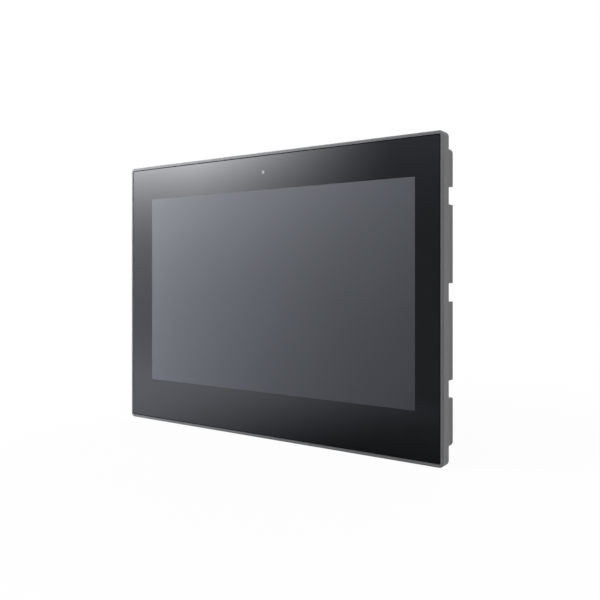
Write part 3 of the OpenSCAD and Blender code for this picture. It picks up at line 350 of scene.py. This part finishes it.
print("solids dressed:", dressed, "of", len(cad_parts))


# Geometry Nodes helpers: a tree with named inputs, and a plain mesh made from it
def startTree(name, inputs):
    tree = bpy.data.node_groups.new(name, "GeometryNodeTree")
    tree.interface.new_socket(name="Geometry", in_out="INPUT", socket_type="NodeSocketGeometry")
    keys = {}
    for title, kind in inputs:
        socket = tree.interface.new_socket(name=title, in_out="INPUT", socket_type="NodeSocket" + kind)
        keys[title] = socket.identifier
    tree.interface.new_socket(name="Geometry", in_out="OUTPUT", socket_type="NodeSocketGeometry")
    return tree, tree.nodes.new("NodeGroupInput"), tree.nodes.new("NodeGroupOutput"), keys


def addNode(tree, kind, links=None, **settings):
    node = tree.nodes.new(kind)
    for key, value in settings.items():
        setattr(node, key, value)
    for socket, value in (links or {}).items():
        target = node.inputs[socket]
        if isinstance(value, bpy.types.NodeSocket):
            tree.links.new(value, target)
        else:
            target.default_value = value
    return node


def endTree(tree, start, end, geometry):
    real = addNode(tree, "GeometryNodeRealizeInstances", {"Geometry": geometry})
    finish = addNode(tree, "GeometryNodeSetMaterial", {"Geometry": real.outputs["Geometry"],
                                                       "Material": start.outputs["Finish"]})
    tree.links.new(finish.outputs["Geometry"], end.inputs["Geometry"])


def plainMesh(thing):
    bpy.context.view_layer.update()
    return bpy.data.meshes.new_from_object(thing.evaluated_get(bpy.context.evaluated_depsgraph_get()))


def growPiece(name, tree, keys, values, seed, slotName, material):
    starter = linked(name + "Start", seed)
    modifier = starter.modifiers.new("grow", "NODES")
    modifier.node_group = tree
    for title, value in values.items():
        modifier[keys[title]] = value
    modifier[keys["Finish"]] = material
    mesh = plainMesh(starter)
    mesh.name = name
    bpy.data.objects.remove(starter)
    piece = linked(name, mesh)
    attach(piece, "panel")
    return piece


def builtPiece(name, shape, material, smooth=None):
    mesh = bpy.data.meshes.new(name)
    bmesh.ops.recalc_face_normals(shape, faces=shape.faces)
    shape.to_mesh(mesh)
    shape.free()
    mesh.materials.append(material)
    if smooth is not None:
        mesh.shade_smooth()
        mesh.set_sharp_from_angle(angle=math.radians(smooth))
    return linked(name, mesh)


# small shapes that repeat: a blank is made once, and a tree sets it at each of its places
def turnedBlank(outline, steps=28):
    shape = bmesh.new()
    points = [shape.verts.new((radius, y, 0)) for radius, y in outline]
    edges = [shape.edges.new(pair) for pair in zip(points, points[1:])]
    bmesh.ops.spin(shape, geom=points + edges, cent=(0, 0, 0), axis=(0, 1, 0), angle=math.tau, steps=steps,
                   use_merge=True)
    bmesh.ops.remove_doubles(shape, verts=shape.verts, dist=2 * um)
    return builtPiece("blank", shape, finishes["chipBlack"], smooth=35)


def barBlank(size, place, edge):
    shape = bmesh.new()
    bmesh.ops.create_cube(shape, size=1.0)
    for vert in shape.verts:
        vert.co = Vector(centre + part * length for centre, part, length in zip(place, vert.co, size))
    bmesh.ops.bevel(shape, geom=shape.edges[:], offset=edge, segments=2, affect="EDGES", profile=0.5)
    return builtPiece("blank", shape, finishes["chipBlack"], smooth=40)


def stripBlank(path, width, thickness):
    shape = bmesh.new()
    rows = [[shape.verts.new((side * width / 2, y, z)) for side in (-1, 1)] for y, z in path]
    for first, second in zip(rows, rows[1:]):
        shape.faces.new((first[0], first[1], second[1], second[0]))
    bmesh.ops.recalc_face_normals(shape, faces=shape.faces)
    bmesh.ops.solidify(shape, geom=shape.faces[:], thickness=thickness)
    return builtPiece("blank", shape, finishes["chipBlack"], smooth=40)


def wireBlank(points, radius):
    curve = bpy.data.curves.new("blankWire", "CURVE")
    curve.dimensions = "3D"
    curve.bevel_depth = radius
    curve.bevel_resolution = 2
    curve.use_fill_caps = True
    spline = curve.splines.new("POLY")
    spline.points.add(len(points) - 1)
    for point, place in zip(spline.points, points):
        point.co = (*place, 1.0)
    holder = linked("blankWire", curve)
    mesh = plainMesh(holder)
    bpy.data.objects.remove(holder)
    return linked("blank", mesh)


def repeatTree():
    inputs = [("Shape", "Object"), ("Turn", "Rotation"), ("Finish", "Material")]
    tree, start, end, keys = startTree("repeatAtPlaces", inputs)
    source = addNode(tree, "GeometryNodeObjectInfo", {"Object": start.outputs["Shape"]},
                     transform_space="ORIGINAL")
    copies = addNode(tree, "GeometryNodeInstanceOnPoints", {
        "Points": start.outputs["Geometry"], "Instance": source.outputs["Geometry"],
        "Rotation": start.outputs["Turn"]})
    endTree(tree, start, end, copies.outputs["Instances"])
    return tree, keys


repeater = repeatTree()
quarterTurn = [math.radians(step * 15) for step in range(7)]  # for domed outlines
faceDown = (-math.pi / 2, 0.0, 0.0)


def repeatPiece(name, blank, places, slotName, finishName, turn=(0.0, 0.0, 0.0)):
    spots = bpy.data.meshes.new(name + "Places")
    spots.from_pydata([Vector(place) for place in places], [], [])
    values = {"Shape": blank, "Turn": turn}
    piece = growPiece(name, *repeater, values, spots, slotName, finishes[finishName])
    bpy.data.objects.remove(blank)
    return piece


def inRow(middle, count, pitch):
    return [middle + (i - (count - 1) / 2) * pitch for i in range(count)]


# cover glass with a bevelled edge: a gloss black border round the matt window, bonded to the dark display
glass = {"width": 303.1 * mm, "height": 225.1 * mm, "front": -10.6 * mm, "rear": -8.62 * mm,
         "corner": 0.8 * mm, "cornerSteps": 6, "bevel": 0.3 * mm, "bevelSteps": 3, "inset": 8 * mm}
screen = {"left": -127.25 * mm, "right": 132.9 * mm, "low": -78.2 * mm, "top": 85 * mm}
shape = bmesh.new()
bmesh.ops.create_cube(shape, size=1.0)
for vert in shape.verts:
    vert.co = Vector((vert.co.x * glass["width"], glass["front"] if vert.co.y < 0 else glass["rear"],
                      vert.co.z * glass["height"]))
corners = [edge for edge in shape.edges if abs(edge.verts[0].co.y - edge.verts[1].co.y) > mm]
bmesh.ops.bevel(shape, geom=corners, offset=glass["corner"], segments=glass["cornerSteps"], affect="EDGES",
                profile=0.5)
rims = [edge for edge in shape.edges if len(edge.link_faces) == 2
        and sum(abs(face.normal.y) for face in edge.link_faces) > 0.9
        and abs(edge.verts[0].co.y - edge.verts[1].co.y) < um]
bmesh.ops.bevel(shape, geom=rims, offset=glass["bevel"], segments=glass["bevelSteps"], affect="EDGES",
                profile=0.5)
window = min(shape.faces, key=lambda face: face.calc_center_median().y)
ring = bmesh.ops.inset_region(shape, faces=[window], thickness=glass["inset"], use_even_offset=True)
for face in shape.faces:  # the back and the ground edge get the black ink; on the edge it is partly painted shade, darkening the line in the gap by the frame
    face.material_index = 1
for face in ring["faces"]:
    face.material_index = 2
window.material_index = 0
for vert in window.verts:
    vert.co.x = screen["left"] if vert.co.x < 0 else screen["right"]
    vert.co.z = screen["low"] if vert.co.z < 0 else screen["top"]
coverGlass = builtPiece("coverGlass", shape, finishes["mattScreen"])  # flat faces mirror true
coverGlass.data.materials.append(finishes["borderInk"])
coverGlass.data.materials.append(finishes["borderGloss"])
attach(coverGlass, "panel")
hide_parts("front_glass")
print("cover glass made")


# sealing gasket: a base strip with two round lips that touch the cabinet's panel
gasket = {"outerWidth": 305.3 * mm, "outerHeight": 227.3 * mm, "width": 4.2 * mm, "corner": 2.4 * mm,
          "cornerSteps": 8, "groundY": -3.0 * mm, "baseTop": -0.85 * mm, "lip": 1.3 * mm,
          "lipGap": 2.5 * mm, "swell": 0.1 * mm, "lipSides": 14}
lipRadius = gasket["lip"] / 2 + gasket["swell"]
gasketSizes = {
    "Width": gasket["outerWidth"] - gasket["width"], "Height": gasket["outerHeight"] - gasket["width"],
    "Corner": gasket["corner"], "Strip": gasket["width"], "Depth": gasket["baseTop"] - gasket["groundY"],
    "Lip": lipRadius, "Lip Gap": gasket["lipGap"], "Lip Centre": -gasket["groundY"] - lipRadius,
    "Ground": gasket["groundY"],
}
gasketInputs = [*((title, "Float") for title in gasketSizes), ("Finish", "Material")]
tree, start, end, keys = startTree("gasketSweep", gasketInputs)
given = start.outputs
oblong = "GeometryNodeCurvePrimitiveQuadrilateral"
loop = addNode(tree, oblong, {"Width": given["Width"], "Height": given["Height"]})
rounded = addNode(tree, "GeometryNodeFilletCurve", {
    "Curve": loop.outputs["Curve"], "Radius": given["Corner"], "Count": gasket["cornerSteps"]}, mode="POLY")
upright = addNode(tree, "GeometryNodeSetCurveNormal", {"Curve": rounded.outputs["Curve"]}, mode="Z_UP")
strip = addNode(tree, oblong, {"Width": given["Strip"], "Height": given["Depth"]})
half = addNode(tree, "ShaderNodeMath", {0: given["Depth"], 1: 0.5}, operation="MULTIPLY")
sink = addNode(tree, "ShaderNodeCombineXYZ", {"Y": half.outputs["Value"]})
base = addNode(tree, "GeometryNodeTransform", {
    "Geometry": strip.outputs["Curve"], "Translation": sink.outputs["Vector"]})
lipRing = addNode(tree, "GeometryNodeCurvePrimitiveCircle", {
    "Resolution": gasket["lipSides"], "Radius": given["Lip"]})
profile = addNode(tree, "GeometryNodeJoinGeometry")
for sign in (-0.5, 0.5):
    aside = addNode(tree, "ShaderNodeMath", {0: given["Lip Gap"], 1: sign}, operation="MULTIPLY")
    spot = addNode(tree, "ShaderNodeCombineXYZ", {"X": aside.outputs["Value"], "Y": given["Lip Centre"]})
    lipAt = addNode(tree, "GeometryNodeTransform", {
        "Geometry": lipRing.outputs["Curve"], "Translation": spot.outputs["Vector"]})
    tree.links.new(lipAt.outputs["Geometry"], profile.inputs["Geometry"])
tree.links.new(base.outputs["Geometry"], profile.inputs["Geometry"])
sweep = addNode(tree, "GeometryNodeCurveToMesh", {
    "Curve": upright.outputs["Curve"], "Profile Curve": profile.outputs["Geometry"]})
ground = addNode(tree, "ShaderNodeCombineXYZ", {"Y": given["Ground"]})
stand = addNode(tree, "GeometryNodeTransform", {
    "Geometry": sweep.outputs["Mesh"], "Rotation": (math.pi / 2, 0, 0),
    "Translation": ground.outputs["Vector"]})
flatSides = addNode(tree, "GeometryNodeSetShadeSmooth", {
    "Geometry": stand.outputs["Geometry"], "Shade Smooth": False})
endTree(tree, start, end, flatSides.outputs["Geometry"])
sealGasket = growPiece("sealGasket", tree, keys, gasketSizes, bpy.data.meshes.new("gasketSeed"),
                       "gasket_rubber", finishes["gasketRubber"])
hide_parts("panel_gasket")
print("gasket made")


# status light: a shallow pale lens in the glass, over the light guide
statusLight = {"x": 0.0, "z": 99.25 * mm, "radius": 1.5 * mm, "front": -10.68 * mm, "rear": -10.5 * mm}
lensDepth = statusLight["front"] - statusLight["rear"]
dome = [(statusLight["radius"] * math.sin(angle), statusLight["rear"] + lensDepth * math.cos(angle))
        for angle in quarterTurn]
repeatPiece("statusLens", turnedBlank([*dome, (0.0, statusLight["rear"])]),
            [(statusLight["x"], 0, statusLight["z"])], "light_pipe", "lightPipe")
print("status light made")


# pan-head screws with a cross recess
screws = {"head": 2.8 * mm, "headHeight": 1.8 * mm, "side": 0.75 * mm, "shank": 1.5 * mm, "arm": 1.5 * mm,
          "slot": 0.42 * mm, "recess": 1.1 * mm, "taper": 0.62, "edge": 0.1 * mm, "point": 0.6 * mm,
          "above": 0.2 * mm}


def screwBlank(seat, tip):
    rise = screws["headHeight"] - screws["side"]
    crown = [(screws["head"] * math.sin(angle), seat + screws["side"] + rise * math.cos(angle))
             for angle in quarterTurn]
    foot = [(screws["head"], seat + screws["edge"]), (screws["head"] - screws["edge"], seat),
            (screws["shank"], seat), (screws["shank"], tip + screws["point"]),
            (screws["shank"] - screws["point"], tip), (0.0, tip)]
    blank = turnedBlank(crown + foot)
    top = seat + screws["headHeight"] + screws["above"]
    bottom = top - screws["recess"] - screws["above"]
    half = screws["slot"]
    cross = []
    for quarter in range(4):
        cosine = round(math.cos(quarter * math.pi / 2))
        sine = round(math.sin(quarter * math.pi / 2))
        for x, z in ((screws["arm"], -half), (screws["arm"], half), (half, half)):
            cross.append((cosine * x - sine * z, sine * x + cosine * z))
    cutter = bmesh.new()
    face = cutter.faces.new([cutter.verts.new((x, top, z)) for x, z in cross])
    sunk = bmesh.ops.extrude_face_region(cutter, geom=[face])["geom"]
    for vert in (item for item in sunk if isinstance(item, bmesh.types.BMVert)):
        vert.co = Vector((vert.co.x * screws["taper"], bottom, vert.co.z * screws["taper"]))
    tool = builtPiece("recessTool", cutter, finishes["chipBlack"])
    cut = blank.modifiers.new("recess", "BOOLEAN")
    cut.operation = "DIFFERENCE"
    cut.solver = "EXACT"
    cut.object = tool
    blank.data = plainMesh(blank)
    blank.modifiers.clear()
    bpy.data.objects.remove(tool)
    return blank


rearScrews = {"seat": 6.5 * mm, "tip": -4.6 * mm, "columns": (137 * mm, 70 * mm), "row": 99 * mm}
panScrews = repeatPiece("panScrews", screwBlank(rearScrews["seat"], rearScrews["tip"]),
                        [(side * column, 0, rowSide * rearScrews["row"]) for column in rearScrews["columns"]
                         for side in (-1, 1) for rowSide in (-1, 1)], "screw_steel", "screwSteel")
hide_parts("housing_screws")
plate = {"x": 104 * mm, "y": 14.5 * mm, "z": -73 * mm, "tip": -6.5 * mm}
plateScrews = repeatPiece("plateScrews", screwBlank(0.0, plate["tip"]),
                          [(side * plate["x"], plate["y"], plate["z"]) for side in (-1, 1)], "screw_steel",
                          "screwSteel", faceDown)
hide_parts("plate_screws")
print("screws made")


# port contacts: spring wires, flat strips and round pins
network = {"sockets": (-18.68 * mm, 0.32 * mm), "count": 8, "pitch": 1.02 * mm, "wire": 0.2 * mm,
           "path": ((0, 10.62 * mm, -60 * mm), (0, 10.62 * mm, -71.2 * mm), (0, 10.8 * mm, -71.75 * mm),
                    (0, 11.15 * mm, -71.7 * mm), (0, 13.7 * mm, -61.8 * mm)),
           "lampSize": (2.7 * mm, 1.5 * mm, 0.6 * mm), "lampEdge": 0.12 * mm, "lampAside": 5.6 * mm,
           "lampY": 19.9 * mm, "lampZ": -73.42 * mm}
repeatPiece("networkContacts", wireBlank(network["path"], network["wire"]),
            [(x, 0, 0) for socket in network["sockets"]
             for x in inRow(socket, network["count"], network["pitch"])], "pin_metal", "contactGold")
networkLamps = {"networkLampGreen": (-1, "lampGreen"), "networkLampAmber": (1, "lampAmber")}
lampPlace = (0, network["lampY"], network["lampZ"])
for lampName, (side, finishName) in networkLamps.items():
    repeatPiece(lampName, barBlank(network["lampSize"], lampPlace, network["lampEdge"]),
                [(x + side * network["lampAside"], 0, 0) for x in network["sockets"]],
                "lamp_lens", finishName)
usb = {"ports": (23.08 * mm, 40.08 * mm), "offsets": (-3.5 * mm, -1.0 * mm, 1.0 * mm, 3.5 * mm),
       "size": (1.0 * mm, 0.18 * mm, 8.2 * mm), "place": (0, 10.87 * mm, -68.2 * mm), "edge": 0.06 * mm}
repeatPiece("usbContacts", barBlank(usb["size"], usb["place"], usb["edge"]),
            [(x + offset, 0, 0) for x in usb["ports"] for offset in usb["offsets"]],
            "pin_metal", "contactGold")
service = {"x": 59.34 * mm, "count": 12, "pitch": 0.45 * mm, "size": (0.28 * mm, 0.08 * mm, 3.2 * mm),
           "y": 9.85 * mm, "face": 0.36 * mm, "z": -70.8 * mm, "edge": 0.03 * mm}
repeatPiece("serviceContacts", barBlank(service["size"], (0, 0, service["z"]), service["edge"]),
            [(x, service["y"] + side * service["face"], 0) for side in (-1, 1)
             for x in inRow(service["x"], service["count"], service["pitch"])], "pin_metal", "contactGold")
serial = {"x": -50.34 * mm, "y": 14.5 * mm, "root": -71 * mm, "rows": ((5, 1.42 * mm), (4, -1.42 * mm)),
          "pitch": 2.77 * mm, "radius": 0.54 * mm, "length": 6.08 * mm, "taper": 0.75 * mm, "nose": 0.25 * mm,
          "noseShare": 0.7, "tipShare": 0.3, "sides": 16}
pinOutline = [(0.0, 0.0), (serial["radius"], 0.0), (serial["radius"], serial["length"] - serial["taper"]),
              (serial["radius"] * serial["noseShare"], serial["length"] - serial["nose"]),
              (serial["radius"] * serial["tipShare"], serial["length"]), (0.0, serial["length"])]
repeatPiece("serialPins", turnedBlank(pinOutline, serial["sides"]),
            [(x, serial["y"] + aside, serial["root"]) for count, aside in serial["rows"]
             for x in inRow(serial["x"], count, serial["pitch"])], "pin_metal", "contactGold", faceDown)
print("port contacts made")


# backup cell with a rolled edge and a raised ring, and the spring clip that holds it
cell = {"x": 62 * mm, "z": 22 * mm, "radius": 10 * mm, "low": 9.4 * mm, "top": 12.6 * mm, "ring": 0.16 * mm,
        "sides": 64, "clipWidth": 4.6 * mm, "clipSheet": 0.28 * mm,
        "clipPath": ((8.4 * mm, 12.9 * mm), (12.9 * mm, 12.9 * mm), (13.25 * mm, 12.7 * mm),
                     (13.4 * mm, 12.3 * mm), (13.1 * mm, 7.2 * mm), (12.95 * mm, 5.6 * mm),
                     (13.2 * mm, 4.9 * mm), (13.7 * mm, 4.6 * mm))}
cellSteps = [  # share of the radius, and height
    (0.0, cell["top"] - cell["ring"]), (0.74, cell["top"] - cell["ring"]), (0.77, cell["top"]),
    (0.92, cell["top"]), (0.97, cell["top"] - 0.2 * mm), (1.0, cell["top"] - 0.55 * mm),
    (1.0, cell["low"] + 0.5 * mm), (0.96, cell["low"] + 0.15 * mm), (0.9, cell["low"]), (0.0, cell["low"])]
cellOutline = [(share * cell["radius"], y) for share, y in cellSteps]
coinCell = repeatPiece("coinCell", turnedBlank(cellOutline, cell["sides"]), [(cell["x"], 0, cell["z"])],
                       "cell_steel", "cellSteel")
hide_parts("backup_battery")
repeatPiece("cellClip", stripBlank(cell["clipPath"], cell["clipWidth"], cell["clipSheet"]),
            [(cell["x"], 0, cell["z"])], "pin_metal", "pinMetal")


# chip resistors on the control board, in rows beside the switches in the service well
chips = {"columns": (76.6 * mm, 79.6 * mm, 92.6 * mm), "low": 9.6 * mm, "step": 2.15 * mm, "rows": 12,
         "y": 8.42 * mm, "size": (1.1 * mm, 0.5 * mm, 0.85 * mm), "edge": 0.05 * mm,
         "cap": (0.36 * mm, 0.56 * mm, 0.9 * mm), "capEdge": 0.06 * mm, "aside": 0.64 * mm}
chipPlaces = [(x, chips["y"], chips["low"] + row * chips["step"]) for column, x in enumerate(chips["columns"])
              for row in range(chips["rows"]) if (row * 5 + column * 3) % 7]  # some places stay bare
repeatPiece("chipBodies", barBlank(chips["size"], (0, 0, 0), chips["edge"]), chipPlaces,
            "chip_black", "chipBrown")
repeatPiece("chipCaps", barBlank(chips["cap"], (0, 0, 0), chips["capEdge"]),
            [(x + side * chips["aside"], y, z) for x, y, z in chipPlaces for side in (-1, 1)],
            "pin_metal", "solderTin")
print("board parts made")


# studio: white to the camera, a soft key from the upper left, a fill from the right and a lamp behind
studio = {"ambient": 0.4, "floorZ": -0.1156, "floorSpan": 4, "floorTone": (0.92, 0.92, 0.92, 1),
          "whiteShare": (0.95, 1.0), "whiteReach": (0.2, 0.7)}
lamps = {"keyLamp": ((-0.9, -1.0, 1.1), 0.9, 20.0), "fillLamp": ((1.3, -0.2, 0.5), 0.8, 1.45),
         "rearLamp": ((-0.3, 1.3, 0.9), 0.9, 6.5)}  # place, size and power
world = bpy.data.worlds.new("studioWorld")
scene.world = world
world.use_nodes = True
tree = world.node_tree
tree.nodes.clear()
ray = tree.nodes.new("ShaderNodeLightPath")
seen = maths(tree, "MAXIMUM", ray.outputs["Is Camera Ray"], ray.outputs["Is Glossy Ray"])
seen = maths(tree, "MAXIMUM", seen, ray.outputs["Is Transmission Ray"])
backdrop = tree.nodes.new("ShaderNodeBackground")
backdrop.inputs["Color"].default_value = (1, 1, 1, 1)
tree.links.new(spread(tree, seen, studio["ambient"], 1.0, 0.0, 1.0), backdrop.inputs["Strength"])
tree.links.new(backdrop.outputs["Background"], tree.nodes.new("ShaderNodeOutputWorld").inputs["Surface"])
for lampName, (place, size, power) in lamps.items():  # each is aimed at the middle of the panel
    lamp = bpy.data.lights.new(lampName, "AREA")
    lamp.shape = "RECTANGLE"
    lamp.size = size
    lamp.size_y = size
    lamp.energy = power
    holder = linked(lampName, lamp)
    holder.location = place
    holder.rotation_euler = (-Vector(place)).to_track_quat("-Z", "Y").to_euler()
    holder.visible_glossy = False
    holder.visible_transmission = False
    holder.visible_camera = False


def startStage(name):
    material = bpy.data.materials.new(name)
    material.use_nodes = True
    tree = material.node_tree
    tree.nodes.clear()
    return material, tree, tree.nodes.new("ShaderNodeTexCoord").outputs["Object"]


def stagePlane(name, corners, material):
    mesh = bpy.data.meshes.new(name)
    mesh.from_pydata([Vector(corner) for corner in corners], [], [(0, 1, 2, 3)])
    mesh.materials.append(material)
    plane = linked(name, mesh)
    return plane


# pale floor, white to the camera, that keeps a faint shadow
floorPaint, tree, place = startStage("floorPaint")
ray = tree.nodes.new("ShaderNodeLightPath")
matt = tree.nodes.new("ShaderNodeBsdfDiffuse")
matt.inputs["Color"].default_value = studio["floorTone"]
white = tree.nodes.new("ShaderNodeEmission")
white.inputs["Strength"].default_value = 1.0
far = tree.nodes.new("ShaderNodeVectorMath")  # the shadow's share fades out away from the object
far.operation = "LENGTH"
tree.links.new(place, far.inputs[0])
share = spread(tree, far.outputs["Value"], *studio["whiteShare"], *studio["whiteReach"])
mix = tree.nodes.new("ShaderNodeMixShader")
tree.links.new(times(tree, ray.outputs["Is Camera Ray"], share), mix.inputs["Fac"])
tree.links.new(matt.outputs["BSDF"], mix.inputs[1])
tree.links.new(white.outputs["Emission"], mix.inputs[2])
oneSided = tree.nodes.new("ShaderNodeMixShader")  # a view from below looks through the floor
tree.links.new(tree.nodes.new("ShaderNodeNewGeometry").outputs["Backfacing"], oneSided.inputs["Fac"])
tree.links.new(mix.outputs["Shader"], oneSided.inputs[1])
tree.links.new(tree.nodes.new("ShaderNodeBsdfTransparent").outputs["BSDF"], oneSided.inputs[2])
tree.links.new(oneSided.outputs["Shader"], tree.nodes.new("ShaderNodeOutputMaterial").inputs["Surface"])
span = studio["floorSpan"]
floorCorners = [(x * span, y * span, studio["floorZ"]) for x, y in ((-1, -1), (1, -1), (1, 1), (-1, 1))]
floor = stagePlane("studioFloor", floorCorners, floorPaint)
floor.visible_glossy = False
floor.visible_transmission = False


def softStep(tree, value, rise):
    node = tree.nodes.new("ShaderNodeMapRange")
    node.interpolation_type = "SMOOTHSTEP"
    node.inputs["From Min"].default_value = rise[0]
    node.inputs["From Max"].default_value = rise[1]
    tree.links.new(value, node.inputs["Value"])
    return node.outputs["Result"]


def softFall(tree, value, fade):
    return minus(tree, 1.0, softStep(tree, value, fade))


# soft card in front that the glass mirrors: a bright strip above, and a glow that fades to the right
card = {"y": -1.2, "left": -5.0, "right": 6.0, "low": -2.0, "top": 3.0,
        "strip": 7.2, "most": 8.3, "climbFrom": 0.357, "climbStep": 0.12, "stripFade": (-1.25, -0.45),
        "easeRise": (-1.5, -1.1), "eased": 0.74, "stripColour": (0.99, 1.0, 1.02, 1.0),
        "glow": 1.6, "glowFade": (-1.5, -0.45), "foot": (-0.462, -0.334), "footShift": (0.12, -0.2),
        "footEnd": (-0.33, -0.27), "dip": 0.3, "dipRise": (-0.36, -0.12), "dim": 0.23, "dimFoot": 0.3,
        "dimRise": (-0.462, -0.345), "tail": 0.62, "tailRise": (0.1, 0.7), "above": 4.6,
        "aboveRise": (0.4, 0.8), "aboveCut": 0.8, "far": 6.3, "farFade": (-2.3, -1.56),
        "glowColour": (0.94, 1.0, 1.13, 1.0)}
cardGlow, tree, place = startStage("cardGlow")
cardGlow.cycles.emission_sampling = "NONE"
split = tree.nodes.new("ShaderNodeSeparateXYZ")
tree.links.new(place, split.inputs["Vector"])
across = split.outputs["X"]
height = split.outputs["Z"]
above = softStep(tree, height, card["aboveRise"])  # beyond what the border mirrors, for the screen
climb = maths(tree, "DIVIDE", minus(tree, height, card["climbFrom"]), card["climbStep"])
climb = times(tree, maths(tree, "EXPONENT", climb), card["strip"])
upward = maths(tree, "MINIMUM", climb, card["most"])
upward = times(tree, upward, minus(tree, 1.0, times(tree, above, card["aboveCut"])))
ease = plus(tree, times(tree, softStep(tree, across, card["easeRise"]), 1 - card["eased"]), card["eased"])
bright = times(tree, times(tree, softFall(tree, across, card["stripFade"]), ease), upward)
slant = spread(tree, height, *card["footShift"], *card["foot"])  # the glow's foot slopes
slant = times(tree, slant, softFall(tree, height, card["footEnd"]))
sideGlow = softFall(tree, plus(tree, across, slant), card["glowFade"])
dip = minus(tree, 1.0, times(tree, softStep(tree, height, card["dipRise"]), card["dip"]))
glow = times(tree, times(tree, sideGlow, dip), card["glow"])
for level, amount in ((spread(tree, height, card["dimFoot"], 1.0, *card["dimRise"]), card["dim"]),
                      (softStep(tree, height, card["tailRise"]), card["tail"]), (above, card["above"]),
                      (softFall(tree, across, card["farFade"]), card["far"])):
    glow = plus(tree, glow, times(tree, level, amount))
shine = tree.nodes.new("ShaderNodeAddShader")
for socket, strength, colour in ((0, bright, card["stripColour"]), (1, glow, card["glowColour"])):
    part = tree.nodes.new("ShaderNodeEmission")
    part.inputs["Color"].default_value = colour
    tree.links.new(strength, part.inputs["Strength"])
    tree.links.new(part.outputs["Emission"], shine.inputs[socket])
tree.links.new(shine.outputs["Shader"], tree.nodes.new("ShaderNodeOutputMaterial").inputs["Surface"])
cardEnds = (("left", "low"), ("right", "low"), ("right", "top"), ("left", "top"))
softCard = stagePlane("softCard", [(card[x], card["y"], card[z]) for x, z in cardEnds], cardGlow)
softCard.visible_camera = False
softCard.visible_diffuse = False
softCard.visible_shadow = False
print("studio set")
